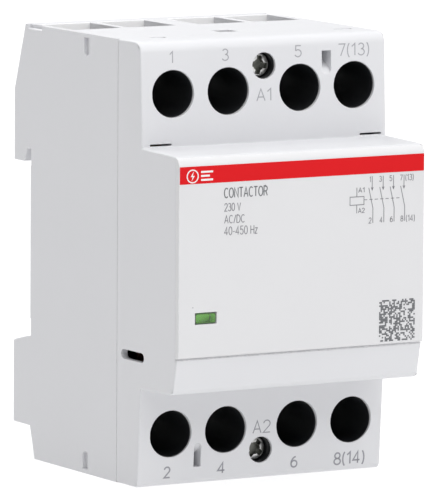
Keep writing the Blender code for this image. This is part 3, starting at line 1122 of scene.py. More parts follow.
@dataclass
class CoverShell:
    """The white cover: nose, two leaning terminal faces, wells, slits and pockets."""

    side: float = 27.0
    seam: float = -34.95
    close: float = 0.13
    corner: float = 0.32
    rim: float = 0.14
    mating: float = 0.07

    def _on_corner(self, a: Vector, b: Vector) -> bool:
        """Finds the outline's edges on the two sides and across the front.

        Args:
            a: One end of an edge, in millimetres.
            b: Its other end.

        Returns:
            Whether the edge is rounded.
        """
        slot = a.x < 0 and -46.5 < a.y < -35.5 and -18.6 < a.z < -16.2
        at_seam = min(a.y, b.y) > self.seam - 0.05
        outer = all(abs(p.x) > self.side - 0.05 for p in (a, b))
        return outer and not slot and not at_seam

    def _on_rim(self, a: Vector, b: Vector) -> bool:
        """Finds the mouths of the wells and pockets on the terminal faces.

        Args:
            a: One end of an edge, in millimetres.
            b: Its other end.

        Returns:
            Whether the edge is rounded.
        """
        face = UPPER_FACE if a.z > 0 else LOWER_FACE
        inside = all(abs(p.x) < 26.0 and 23.7 < abs(p.z) < 40.2 for p in (a, b))
        return inside and all(abs(p.y - face.at(p.z)) < 0.04 for p in (a, b))

    def _on_seam(self, a: Vector, b: Vector) -> bool:
        """Finds the outer edge of the face that meets the base.

        Args:
            a: One end of an edge, in millimetres.
            b: Its other end.

        Returns:
            Whether the edge is rounded.
        """
        at_seam = min(a.y, b.y) > self.seam - 0.02
        outer = all(abs(p.x) > self.side - 0.4 or abs(p.z) > 42.1 for p in (a, b))
        return at_seam and outer

    def build(self) -> Piece:
        """Models the cover and dresses it.

        Returns:
            The cover.
        """
        shell = Bench.copy_node("front_housing", "cover_shell")
        Bench.shift_points(shell, lambda p: abs(p.y - self.seam) < NEAR, self.close)
        Bench.round_edges(shell, self.corner, 3, self._on_corner)
        Bench.round_edges(shell, self.rim, 2, self._on_rim)
        Bench.round_edges(shell, self.mating, 1, self._on_seam, 60.0)
        Bench.dress(shell, [painted(SHELL)])
        return fit(shell, BODY, "white_shell", "front_housing")


@dataclass
class BaseShell:
    """The white base: wire entries, cheeks, hooks and rail seat."""

    side: float = 27.0
    seam: float = -34.8
    corner: float = 0.32
    pocket_back: float = -1.4

    def _on_corner(self, a: Vector, b: Vector) -> bool:
        """Finds the outline's edges on the two sides and across the ends.

        Args:
            a: One end of an edge, in millimetres.
            b: Its other end.

        Returns:
            Whether the edge is rounded.
        """
        at_seam = min(a.y, b.y) < self.seam + 0.05
        recess = all(-23.7 < p.y < -21.2 and 38.0 < abs(p.z) < 41.9 for p in (a, b))
        outer = all(abs(p.x) > self.side - 0.05 for p in (a, b))
        return outer and not at_seam and not recess

    def _on_entry(self, a: Vector, b: Vector) -> bool:
        """Finds the mouths of the wire entries on the top and the bottom."""
        return all(abs(p.z) > 42.45 and abs(p.x) < 26.4 and p.y > -33.0 for p in (a, b))

    def _on_recess(self, a: Vector, b: Vector) -> bool:
        """Finds the mouths of the small recesses in the sides."""
        mouth = all(-23.7 < p.y < -21.2 and 38.0 < abs(p.z) < 41.9 for p in (a, b))
        return mouth and all(abs(p.x) > self.side - 0.03 for p in (a, b))

    def _is_pocket_back(self, middle: Vector) -> bool:
        """Finds the thin back walls of the wire entries, which get a lighter, glowing copy of the
        shell as painted light.
        """
        return abs(middle.y - self.pocket_back) < 0.05 and abs(middle.z) > 25.5

    def build(self) -> Piece:
        """Models the base and dresses it.

        Returns:
            The base.
        """
        shell = Bench.copy_node("rear_housing", "base_shell")
        Bench.round_edges(shell, self.corner, 3, self._on_corner)
        Bench.round_edges(shell, 0.2, 2, self._on_entry)
        Bench.round_edges(shell, 0.12, 2, self._on_recess)
        # The second material, the lighter glowing copy, is painted light on the wire entries' back
        # walls.
        Bench.dress(shell, [painted(SHELL), painted(SHELL_PAINTED_LIGHT)])
        Bench.paint_faces(shell, 1, self._is_pocket_back)
        return fit(shell, BODY, "white_shell", "rear_housing")


@dataclass
class LabelPlate:
    """The snap-in label plate over the nose, set back a hair so its print stays in."""

    front: float = -58.4
    set_back: float = 0.05
    corner: float = 0.16

    def build(self) -> Piece:
        """Models the plate and dresses it.

        Returns:
            The plate.
        """
        plate = Bench.copy_node("front_plate", "label_plate")
        Bench.shift_points(plate, lambda p: p.y < self.front + NEAR, self.set_back)
        Bench.round_edges(plate, self.corner, 3, lambda a, b: max(a.y, b.y) < -57.5)
        Bench.dress(plate, [painted(PLATE)])
        return fit(plate, BODY, "label_plate", "front_plate")


@dataclass
class WindowLens:
    """The clear window over the position flag, with a dark green rim painted on its front as the
    shade at its edge.
    """

    x: Span = (-23.2, -18.8)
    y: Span = (-58.15, -56.1)
    z: Span = (-9.45, -7.55)
    corner: float = 0.4
    rim: float = 0.14
    crown: Span = (0.1, 0.08)

    def build(self) -> Piece:
        """Models the lens with round corners and a slightly proud face.

        Returns:
            The lens.
        """
        lens = Bench.block("flag_window", self.x, self.y, self.z)
        Bench.round_edges(lens, self.corner, 4, lambda a, b: abs(a.y - b.y) > 1.0)
        with Bench.editing(lens, "FACE") as mesh:
            for face in mesh.faces:
                face.select_set(abs(face.normal.y) > 0.9)
            bmesh.update_edit_mesh(lens.data)
            bpy.ops.mesh.inset(thickness=self.rim * MM)
            for face in mesh.faces:
                face.select_set(face.select and face.normal.y < 0.0)
            bmesh.update_edit_mesh(lens.data)
            bpy.ops.mesh.inset(thickness=self.crown[0] * MM)
            bpy.ops.transform.translate(value=(0, -self.crown[1] * MM, 0))
        # The first material, the dark front rim, is painted shade at the window's edge.
        Bench.dress(lens, [painted(WINDOW_SHADE_RIM), painted(ClearWindow()), painted(WINDOW_SIDE)])
        inner = [(low + self.rim, high - self.rim) for low, high in (self.x, self.z)]
        Bench.paint_faces(lens, 2, lambda c: c.y > self.y[0] + 0.3)
        (left, right), (low, high) = inner
        Bench.paint_faces(lens, 1, lambda c: left < c.x < right and low < c.z < high)
        Bench.paint_faces(lens, 1, lambda c: c.y > self.y[1] - 0.05)
        return fit(lens, BODY, "lens", "indicator_lens")


@dataclass
class WellLining:
    """The black insulating block behind one row of wells, with a collar in each well."""

    row: Row
    well_radius: float = 4.53
    coil_radius: float = 2.53
    wall: float = 0.14
    lip: float = 0.5

    def _collar(self, x: float, z: float, radius: float) -> Piece:
        """Turns a thin black collar that stands in a well's mouth.

        Args:
            x: The well's place.
            z: Its height.
            radius: The collar's outer radius.

        Returns:
            The collar.
        """
        face = UPPER_FACE if self.row is Row.TOP else LOWER_FACE
        front = face.at(z) + self.lip
        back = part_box(f"terminal_insulator_{self.row.name.lower()}")[0].y / MM - 0.02
        inner = radius - self.wall
        profile = [
            (inner, back), (radius, back), (radius, front + 0.05), (radius - 0.05, front),
            (inner + 0.04, front + 0.02), (inner, front + 0.1), (inner, back),
        ]
        collar = Bench.lathe("collar", profile, 64)
        collar.location = (x * MM, 0.0, z * MM)
        return Bench.settle(collar)

    def build(self) -> Piece:
        """Models the block with broken edges and its collars.

        Returns:
            The lining.
        """
        tag = self.row.name.lower()
        piece = softened(f"terminal_insulator_{tag}", f"black_lining_{tag}", 0.12, 50.0)
        side = self.row.value
        collars = [self._collar(x, side * WELL_Z, self.well_radius) for x in POLE_X]
        collars.append(self._collar(0.0, side * COIL_Z, self.coil_radius))
        Bench.join(piece, *collars)
        Bench.dress(piece, [painted(LINING)])
        return fit(piece, BODY, "black_lining", f"terminal_insulator_{tag}")


# ------------------------------------------------------------------ terminals


def terminals() -> list[tuple[int, float, Row]]:
    """Gives each main terminal's number, its pole's place and its row.

    Returns:
        Number, place along X and row of each terminal, in the order of the numbers.
    """
    order = []
    for index, x in enumerate(POLE_X):
        order += [(2 * index + 1, x, Row.TOP), (2 * index + 2, x, Row.BOTTOM)]
    return order


@dataclass
class ClampScrews:
    """The eight main clamp screws, with a cross and slot drive and a rolled thread."""

    head: Span = (-27.5, -24.7)
    radius: float = 4.1
    core: float = 2.15
    crest: float = 2.5
    tip: float = -15.9
    pitch: float = 0.8
    turns: tuple[float, ...] = (12.0, -38.0, 61.0, -9.0, 33.0, 84.0, -52.0, 20.0)

    def _pattern(self) -> Piece:
        """Turns one screw on the Y axis and cuts its drive.

        Returns:
            The pattern, on the Y axis.
        """
        front, back = self.head
        profile = [
            (0.0, front), (2.7, front), (3.55, front + 0.18), (3.98, front + 0.55),
            (self.radius, front + 1.0), (self.radius, back - 0.35), (3.95, back - 0.1),
            (3.7, back), (self.core, back),
        ]
        place = back + 0.25
        while place + self.pitch < self.tip - 0.3:
            profile += [
                (self.core, place), (self.crest, place + 0.3 * self.pitch),
                (self.crest, place + 0.45 * self.pitch), (self.core, place + 0.75 * self.pitch),
            ]
            place += self.pitch
        profile += [(self.core, self.tip - 0.4), (self.core - 0.4, self.tip), (0.0, self.tip)]
        screw = Bench.lathe("screw_pattern", profile)
        open_y = (front - 1.0, front + 1.5)
        slot = Bench.block("slot_tool", (-2.9, 2.9), open_y, (-0.55, 0.55))
        cross = Bench.block("cross_tool", (-0.6, 0.6), open_y, (-2.4, 2.4))
        bore = Bench.rod("bore_tool", Axis.Y, (0.0, 0.0), 1.15, (front - 1.0, front + 1.65), 20)
        Bench.cut(screw, slot, cross, bore)
        return Bench.round_edges(screw, 0.1, 1, lambda a, b: max(a.y, b.y) < front + 0.05, 50.0)

    def build(self) -> list[Piece]:
        """Makes one screw and copies it to the eight wells.

        Returns:
            The eight screws.
        """
        pattern = self._pattern()
        made = []
        for (number, x, row), turn in zip(terminals(), self.turns):
            place = (x, 0.0, row.value * WELL_Z)
            screw = Bench.move_copy(pattern, f"clamp_screw_{number}", place, turn)
            Bench.dress(screw, [painted(ZINC)])
            made.append(fit(screw, f"screw_{number}", "zinc", f"terminal_screw_{number}"))
        bpy.data.objects.remove(pattern)
        return made


@dataclass
class WireCages:
    """The eight lifting cages that press a wire up to its strip."""

    half: float = 4.3
    wall: float = 1.1
    floor: float = 1.4
    tooth: float = 1.5
    y: Span = (-17.6, -5.2)
    z: Span = (-4.5, 4.5)

    def _pattern(self) -> Piece:
        """Models one cage round the origin's Y axis, with teeth on its floor.

        Returns:
            The pattern, round the Y axis.
        """
        cage = Bench.block("cage_pattern", (-self.half, self.half), self.y, self.z)
        inner = self.half - self.wall
        depth = (self.y[0] + self.wall, self.y[1] - self.floor)
        room = Bench.block("room_tool", (-inner, inner), depth, (-9.0, 9.0))
        hole = Bench.rod("hole_tool", Axis.Y, (0.0, 0.0), 2.7, (self.y[0] - 1, self.y[0] + 2), 32)
        Bench.cut(cage, room, hole)
        Bench.round_edges(
            cage, 0.3, 3, lambda a, b: min(abs(a.x), abs(b.x)) > self.half - 0.05
        )
        floor = self.y[1] - self.floor
        for middle in (step * self.tooth for step in range(-2, 3)):
            outline = [
                (floor - 0.1, middle - 0.4), (floor + 0.35, middle), (floor - 0.1, middle + 0.4),
            ]
            groove = Bench.bar("groove_tool", Axis.X, outline, (-inner + 0.3, inner - 0.3))
            Bench.cut(cage, groove)
        return cage

    def build(self) -> list[Piece]:
        """Makes one cage and copies it to the eight terminals.

        Returns:
            The eight cages.
        """
        pattern = self._pattern()
        made = []
        for number, x, row in terminals():
            cage = Bench.move_copy(pattern, f"wire_cage_{number}", (x, 0.0, row.value * WELL_Z))
            Bench.dress(cage, [painted(ZINC)])
            made.append(fit(cage, f"clamp_{number}", "zinc", f"cage_clamp_{number}"))
        bpy.data.objects.remove(pattern)
        return made


@dataclass
class FixedStrips:
    """The eight fixed contact strips, each with a silver tip."""

    tip_z: float = 8.5
    tip_y: Span = (-36.2, -35.0)
    tip_radius: float = 1.9
    crown: float = 0.28

    def _on_tip_rim(self, place: Vector) -> bool:
        """Finds the outer points of the tip's face on a strip at X = 0."""
        radius = math.hypot(place.x, place.z - self.tip_z)
        return place.y < self.tip_y[0] + NEAR and radius > self.tip_radius - 0.1

    def _pattern(self) -> Piece:
        """Makes one strip at X = 0 in the upper row, with a domed tip.

        Returns:
            The pattern.
        """
        strip = Bench.copy_node("fixed_contact_1", "strip_pattern")
        strip.location.x = -POLE_X[0] * MM
        Bench.settle(strip)
        with Bench.editing(strip, "FACE") as mesh:
            for face in mesh.faces:
                middle = face.calc_center_median() / MM
                face.select_set(middle.y < self.tip_y[0] + NEAR)
            bmesh.update_edit_mesh(strip.data)
            bpy.ops.mesh.inset(thickness=0.5 * MM, depth=0.0)
        Bench.shift_points(strip, self._on_tip_rim, self.crown)
        return Bench.round_edges(strip, 0.12, 2, None, 60.0)

    def build(self) -> list[Piece]:
        """Copies the strip to the eight terminals.

        Returns:
            The eight strips.
        """
        pattern = self._pattern()
        made = []
        for number, x, row in terminals():
            turn = 0.0 if row is Row.TOP else 180.0
            strip = Bench.move_copy(pattern, f"fixed_strip_{number}", (x, 0.0, 0.0), turn)
            Bench.dress(strip, [painted(COPPER), painted(SILVER)])
            Bench.paint_faces(strip, 1, lambda c: c.y < -35.25)
            made.append(fit(strip, BODY, "contact_copper", f"fixed_contact_{number}"))
        bpy.data.objects.remove(pattern)
        return made


@dataclass
class CoilTerminal:
    """One small coil terminal: its screw, cage and strip."""

    row: Row
    turn: float = 18.0
    head_radius: float = 2.3
    shank: float = 1.42
    shank_end: float = -31.9

    @property
    def tag(self) -> str:
        """Gives the terminal's letter and number."""
        return "a1" if self.row is Row.TOP else "a2"

    def _screw(self) -> Piece:
        """Turns the screw and cuts a wide cross that leaves four bright lobes.

        Returns:
            The screw in its place.
        """
        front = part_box(f"coil_screw_{self.tag}")[0].y / MM
        r = self.head_radius
        profile = [
            (0.0, front), (1.55, front), (2.05, front + 0.14), (r, front + 0.45), (r, front + 1.6),
            (r - 0.2, front + 1.8), (1.25, front + 1.8),
        ]
        place = front + 2.1
        while place + 0.5 < self.shank_end - 0.25:
            profile += [(1.25, place), (self.shank, place + 0.2), (1.25, place + 0.4)]
            place += 0.5
        profile += [(1.25, self.shank_end - 0.3), (0.95, self.shank_end), (0.0, self.shank_end)]
        screw = Bench.lathe(f"coil_terminal_screw_{self.tag}", profile, 40)
        open_y = (front - 1.0, front + 1.15)
        tools = [
            Bench.block("slot_tool", (-1.95, 1.95), open_y, (-0.5, 0.5)),
            Bench.block("cross_tool", (-0.5, 0.5), open_y, (-1.8, 1.8)),
            Bench.rod("bore_tool", Axis.Y, (0.0, 0.0), 1.15, (front - 1.0, front + 1.3), 24),
        ]
        Bench.cut(screw, *tools)
        Bench.round_edges(screw, 0.12, 2, lambda a, b: max(a.y, b.y) < front + 0.2, 50.0)
        Bench.dress(screw, [painted(COIL_ZINC), painted(RECESS)])
        Bench.paint_faces(
            screw, 1, lambda c: front + 0.3 < c.y < front + 1.35 and math.hypot(c.x, c.z) < 1.97
        )
        screw.location.z = self.row.value * COIL_Z * MM
        screw.rotation_euler.y = math.radians(self.turn)
        return Bench.settle(screw)

    def build(self) -> list[Piece]:
        """Models the terminal's three parts and dresses them.

        Returns:
            The screw, the cage and the strip.
        """
        screw = self._screw()
        cage = softened(f"coil_clamp_{self.tag}", f"coil_wire_cage_{self.tag}", 0.12, 50.0)
        strip = softened(f"coil_contact_{self.tag}", f"coil_strip_{self.tag}", 0.1, 50.0)
        Bench.dress(cage, [painted(ZINC)])
        Bench.dress(strip, [painted(COPPER)])
        return [
            fit(screw, f"coil_screw_{self.tag}", "zinc", f"coil_screw_{self.tag}"),
            fit(cage, f"coil_clamp_{self.tag}", "zinc", f"coil_clamp_{self.tag}"),
            fit(strip, BODY, "contact_copper", f"coil_contact_{self.tag}"),
        ]


# ------------------------------------------------------------------ drive


@dataclass(frozen=True)
class Coil:
    """A compression spring: closed end turns and even live turns."""

    axis: Axis
    centre: Span
    along: Span
    radius: float
    wire: float
    live: int
    sides: int = 10
    steps: int = 20

    def _section(self, start: float, length: float, turns: int) -> Piece:
        """Sweeps the wire's section through whole turns.

        Args:
            start: Where the run starts along the axis.
            length: How far it climbs.
            turns: How many turns it makes.

        Returns:
            The run, open at both ends.
        """
        Bench.hold()
        lay = (math.pi / 2, 0.0, 0.0) if self.axis is Axis.Z else (0.0, 0.0, 0.0)
        across = (self.radius * MM, 0.0, 0.0)
        bpy.ops.mesh.primitive_circle_add(
            vertices=self.sides, radius=self.wire * MM, location=across, rotation=lay
        )
        wire = Bench.settle(bpy.context.object)
        sweep = wire.modifiers.new("sweep", "SCREW")
        sweep.axis = self.axis.name
        sweep.angle = 2 * math.pi * turns
        sweep.screw_offset = length * MM
        sweep.steps = sweep.render_steps = self.steps * turns
        sweep.use_merge_vertices = False
        Bench.hold(wire)
        bpy.ops.object.modifier_apply(modifier=sweep.name)
        wire.location = [c * MM for c in self.axis.point(start, *self.centre)]
        return Bench.settle(wire)

    def build(self, name: str) -> Piece:
        """Sweeps the spring in three runs, welds them and closes its ends.

        Args:
            name: The spring's name.

        Returns:
            The closed spring.
        """
        closed = 2.08 * self.wire
        low, high = self.along[0] + self.wire, self.along[1] - self.wire
        spring = self._section(low, closed, 1)
        middle = self._section(low + closed, high - low - 2 * closed, self.live)
        last = self._section(high - closed, closed, 1)
        Bench.join(spring, middle, last)
        spring.name = name
        with Bench.editing(spring, "VERT"):
            bpy.ops.mesh.select_all(action="SELECT")
            bpy.ops.mesh.remove_doubles(threshold=8e-6)
            bpy.ops.mesh.select_all(action="DESELECT")
            bpy.ops.mesh.select_non_manifold()
            bpy.ops.mesh.edge_face_add()
            bpy.ops.mesh.select_all(action="SELECT")
            bpy.ops.mesh.normals_make_consistent(inside=False)
        return Bench.dress(spring, [painted(WIRE_STEEL)], 60.0)


@dataclass
class Drive:
    """The moving set: carrier, four bridges with their springs, and return springs."""

    bridge_spring: Span = (-48.05, -40.75)
    tip_face: float = -38.6
    tip_gap: float = 0.03
    return_spring: Span = (-28.1, -8.2)
    return_x: float = 22.4

    def _bridges(self) -> list[Piece]:
        """Makes one bridge with silver tips and copies it to the four poles.

        Returns:
            The four bridges.
        """
        pattern = Bench.copy_node("contact_bridge_1", "bridge_pattern")
        pattern.location.x = -POLE_X[0] * MM
        Bench.settle(pattern)
        Bench.shift_points(pattern, lambda p: p.y > self.tip_face - NEAR, -self.tip_gap)
        Bench.round_edges(pattern, 0.14, 2, None, 50.0)
        made = []
        for index, x in enumerate(POLE_X, 1):
            bridge = Bench.move_copy(pattern, f"moving_bridge_{index}", (x, 0.0, 0.0))
            Bench.dress(bridge, [painted(COPPER), painted(SILVER)])
            Bench.paint_faces(bridge, 1, lambda c: c.y > -39.4)
            node = f"contact_bridge_{index}"
            made.append(fit(bridge, f"bridge_{index}", "contact_copper", node))
        bpy.data.objects.remove(pattern)
        return made

    def _springs(self) -> list[Piece]:
        """Winds the bridge springs and the return springs, each with a mesh of its own.

        Returns:
            The six springs.
        """
        made = []
        for index, x in enumerate(POLE_X, 1):
            coil = Coil(Axis.Y, (x, 0.0), self.bridge_spring, 1.7, 0.3, 4)
            spring = coil.build(f"bridge_spring_{index}")
            fit(spring, "carrier", "spring_steel", f"contact_spring_{index}")
            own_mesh(spring)
            made.append(spring)
        for tag, side in (("left", -1), ("right", 1)):
            coil = Coil(Axis.Y, (side * self.return_x, 0.0), self.return_spring, 1.75, 0.3, 6)
            spring = coil.build(f"lifting_spring_{tag}")
            fit(spring, BODY, "spring_steel", f"return_spring_{tag}")
            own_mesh(spring)
            made.append(spring)
        return made

    def build(self) -> list[Piece]:
        """Models the drive and dresses it.

        Returns:
            The carrier, the bridges and the springs.
        """
        slider = softened("contact_carrier", "contact_slider", 0.12, 50.0)
        Bench.dress(slider, [painted(SLIDER)])
        fit(slider, "carrier", "carrier_plastic", "contact_carrier")
        return [slider, *self._bridges(), *self._springs()]


@dataclass
class Magnet:
    """The laminated core and armature, with the coil on its bobbin."""

    def build(self) -> list[Piece]:
        """Models the magnet and dresses it.

        Returns:
            The core, the armature, the bobbin and the winding.
        """
        core = softened("magnet_core", "iron_core", 0.15, 50.0)
        armature = softened("armature", "iron_armature", 0.15, 50.0)
        bobbin = softened("coil_bobbin", "bobbin", 0.2, 50.0)
        winding = softened("coil_winding", "wound_wire", 0.5, 50.0)
        for piece in (core, armature):
            Bench.dress(piece, [painted(IRON)])
        Bench.dress(bobbin, [painted(BOBBIN)])
        Bench.dress(winding, [painted(WINDING)])
        return [
            fit(core, BODY, "magnet_iron", "magnet_core"),
            fit(armature, "carrier", "magnet_iron", "armature"),
            fit(bobbin, BODY, "black_lining", "coil_bobbin"),
            fit(winding, BODY, "winding", "coil_winding"),
        ]


@dataclass
class PositionFlag:
    """The two-coloured drum behind the window."""

    axis_y: float = -52.4
    axis_z: float = -8.5
    radius: float = 3.0
    pad: float = 0.5
    root: float = 0.4
    pad_x: Span = (-23.0, -18.8)
    half_sector: float = 39.0
    middles: Span = (180.0, 260.0)

    def _on_ring(self, radius: float, angle: float) -> Span:
        """Gives the (Y, Z) point at a radius and an angle round the drum's axis."""
        return self.axis_y + radius * math.cos(angle), self.axis_z + radius * math.sin(angle)

    def _in_sector(self, place: Vector, middle: float) -> bool:
        """Tells whether a place on the drum lies in the sector round an angle.

        Args:
            place: A place, in millimetres.
            middle: The angle of the sector's middle, in degrees.

        Returns:
            Whether it lies on the raised sector.
        """
        y, z = place.y - self.axis_y, place.z - self.axis_z
        apart = (math.degrees(math.atan2(z, y)) - middle + 180.0) % 360.0 - 180.0
        return math.hypot(y, z) > self.radius and abs(apart) < self.half_sector + 0.5

    def build(self) -> Piece:
        """Models the drum with two raised sectors and paints them.

        Returns:
            The flag.
        """
        flag = softened("indicator_flag", "flag_drum", 0.08, 60.0)
        for middle in self.middles:
            reach = [math.radians(middle + self.half_sector * (k / 5 - 1)) for k in range(11)]
            outline = [self._on_ring(self.radius + self.pad, a) for a in reach]
            outline += [self._on_ring(self.radius - self.root, a) for a in reversed(reach)]
            Bench.add(flag, Bench.bar("pad", Axis.X, outline, self.pad_x))
        Bench.dress(flag, [painted(FLAG_BODY), painted(FLAG_GREEN), painted(FLAG_RED)])
        for index, middle in enumerate(self.middles, 1):
            Bench.paint_faces(flag, index, lambda c, m=middle: self._in_sector(c, m))
        return fit(flag, "flag", "flag", "indicator_flag")


@dataclass
class SupplyBoard:
    """The small board that feeds the coil."""

    top: float = -20.7

    def build(self) -> Piece:
        """Models the board and paints its components.

        Returns:
            The board.
        """
        board = softened("rectifier_board", "supply_board", 0.06, 60.0)
        Bench.dress(board, [painted(BoardSkin()), painted(CHIP_BLACK), painted(CHIP_BLUE)])
        Bench.paint_faces(board, 1, lambda c: c.z > self.top + 0.05 and c.x < 2.0)
        Bench.paint_faces(board, 2, lambda c: c.z > self.top + 0.05 and c.x >= 2.0)
        return fit(board, BODY, "board", "rectifier_board")


@dataclass
class RailClip:
    """The sprung clip that holds the rail, with its spring."""

    spring: Span = (-31.8, -22.7)
    centre: Span = (0.0, 2.7)

    def build(self) -> list[Piece]:
        """Models the clip and its spring, which gets a mesh of its own.

        Returns:
            The clip and its spring.
        """
        clip = softened("din_rail_clip", "rail_clip_foot", 0.22, 50.0)
        Bench.dress(clip, [painted(CLIP)])
        fit(clip, "rail_clip", "clip_plastic", "din_rail_clip")
        coil = Coil(Axis.Z, self.centre, self.spring, 1.75, 0.3, 5)
        spring = fit(coil.build("clip_return_spring"), BODY, "spring_steel", "clip_spring")
        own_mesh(spring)
        return [clip, spring]


# ------------------------------------------------------------------ print


@dataclass(frozen=True)
class Word:
    """One printed word, fitted between two X places and two heights."""

    text: str
    x: Span
    z: Span
    weight: float = 0.22


THICK = 0.04
Path = list[Span]


def bow(middle: Span, reach: Span, start: float, stop: float, steps: int = 10) -> Path:
    """Gives points on an oval arc.

    Args:
        middle: The oval's centre.
        reach: Its half width and half height.
        start: Where the arc starts, in degrees.
        stop: Where it ends.
        steps: How many straight runs stand for it.

    Returns:
        The points in order.
    """
    angles = [math.radians(start + (stop - start) * k / steps) for k in range(steps + 1)]
    (x, z), (wide, high) = middle, reach
    return [(x + wide * math.cos(a), z + high * math.sin(a)) for a in angles]


def ring(middle: Span, reach: Span) -> Path:
    """Gives a whole oval as one arc."""
    return bow(middle, reach, 90.0, 450.0, 18)


GLYPHS: dict[str, tuple[float, list[Path]]] = {
    "0": (0.56, [ring((0.28, 0.5), (0.28, 0.5))]),
    "1": (0.34, [[(0.0, 0.76), (0.27, 1.0), (0.27, 0.0)]]),
    "2": (0.56, [bow((0.28, 0.72), (0.27, 0.28), 172, -38) + [(0.0, 0.0), (0.57, 0.0)]]),
    "3": (0.55, [
        bow((0.27, 0.76), (0.23, 0.24), 155, -90), bow((0.27, 0.27), (0.28, 0.27), 90, -158),
    ]),
    "4": (0.6, [[(0.42, 0.0), (0.42, 1.0), (0.0, 0.27), (0.6, 0.27)]]),
    "5": (0.56, [
        [(0.52, 1.0), (0.1, 1.0), (0.07, 0.55)], bow((0.27, 0.32), (0.28, 0.32), 132, -155),
    ]),
    "6": (0.56, [
        bow((0.52, 0.36), (0.52, 0.64), 100, 180, 6), ring((0.28, 0.31), (0.28, 0.31)),
    ]),
    "7": (0.55, [[(0.0, 1.0), (0.55, 1.0), (0.17, 0.0)]]),
    "8": (0.56, [ring((0.28, 0.76), (0.23, 0.24)), ring((0.28, 0.26), (0.28, 0.26))]),
    "(": (0.2, [bow((0.34, 0.45), (0.32, 0.68), 120, 240)]),
    ")": (0.2, [bow((-0.14, 0.45), (0.32, 0.68), 60, -60)]),
    "A": (0.66, [[(0.0, 0.0), (0.33, 1.0), (0.66, 0.0)], [(0.11, 0.32), (0.55, 0.32)]]),
    "C": (0.62, [bow((0.34, 0.5), (0.34, 0.5), 48, 312, 14)]),
    "D": (0.6, [
        [(0.0, 0.0), (0.0, 1.0), (0.24, 1.0)] + bow((0.24, 0.5), (0.36, 0.5), 90, -90)
        + [(0.0, 0.0)],
    ]),
    "H": (0.58, [[(0.0, 0.0), (0.0, 1.0)], [(0.58, 0.0), (0.58, 1.0)], [(0.0, 0.5), (0.58, 0.5)]]),
    "N": (0.6, [[(0.0, 0.0), (0.0, 1.0), (0.6, 0.0), (0.6, 1.0)]]),
    "O": (0.7, [ring((0.35, 0.5), (0.35, 0.5))]),
    "R": (0.56, [
        [(0.0, 0.0), (0.0, 1.0), (0.28, 1.0)] + bow((0.28, 0.74), (0.26, 0.26), 90, -90)
        + [(0.0, 0.48)], [(0.3, 0.48), (0.56, 0.0)],
    ]),
    "T": (0.6, [[(0.0, 1.0), (0.6, 1.0)], [(0.3, 1.0), (0.3, 0.0)]]),
    "V": (0.62, [[(0.0, 1.0), (0.31, 0.0), (0.62, 1.0)]]),
    "z": (0.42, [[(0.0, 0.68), (0.42, 0.68), (0.0, 0.0), (0.42, 0.0)]]),
    "/": (0.36, [[(0.0, -0.04), (0.36, 1.04)]]),
    "-": (0.3, [[(0.0, 0.4), (0.3, 0.4)]]),
    " ": (0.22, []),
}


def stroke(points: Path, width: float) -> Piece:
    """Draws a printed line of even width through points on the plane Y = 0.

    Args:
        points: (X, Z) points in order.
        width: The line's width.

    Returns:
        The line as a thin closed body.
    """
    left, right = [], []
    for index, point in enumerate(points):
        here = Vector(point)
        back = (here - Vector(points[index - 1])).normalized() if index else None
        ahead = (Vector(points[index + 1]) - here).normalized() if index + 1 < len(points) else None
        run = ((back or ahead) + (ahead or back)).normalized()
        side = Vector((-run.y, run.x))
        lean = max(0.45, run.dot(ahead or back))
        left.append(tuple(here + side * width / 2 / lean))
        right.append(tuple(here - side * width / 2 / lean))
    return Bench.bar("stroke", Axis.Y, left + right[::-1], (-THICK / 2, THICK / 2))


def letter(word: Word) -> list[Piece]:
    """Draws a word's strokes, fitted to its place.

    Args:
        word: The word, its place and its stroke width.

    Returns:
        One piece for each stroke.
    """
    gap, place, paths = 0.2, 0.0, []
    for sign in word.text:
        wide, shapes = GLYPHS[sign]
        paths += [[(place + x, z) for x, z in shape] for shape in shapes]
        place += wide + gap
    lows = [min(p[i] for path in paths for p in path) for i in (0, 1)]
    highs = [max(p[i] for path in paths for p in path) for i in (0, 1)]
    half = word.weight / 2
    want = [(span[0] + half, span[1] - half) for span in (word.x, word.z)]
    scale = [(want[i][1] - want[i][0]) / (highs[i] - lows[i]) for i in (0, 1)]
    fitted = [
        [tuple(want[i][0] + (p[i] - lows[i]) * scale[i] for i in (0, 1)) for p in path]
        for path in paths
    ]
    return [stroke(path, word.weight) for path in fitted]


def letter_all(words: Sequence[Word]) -> list[Piece]:
    """Draws the strokes of several words."""
    return [piece for word in words for piece in letter(word)]


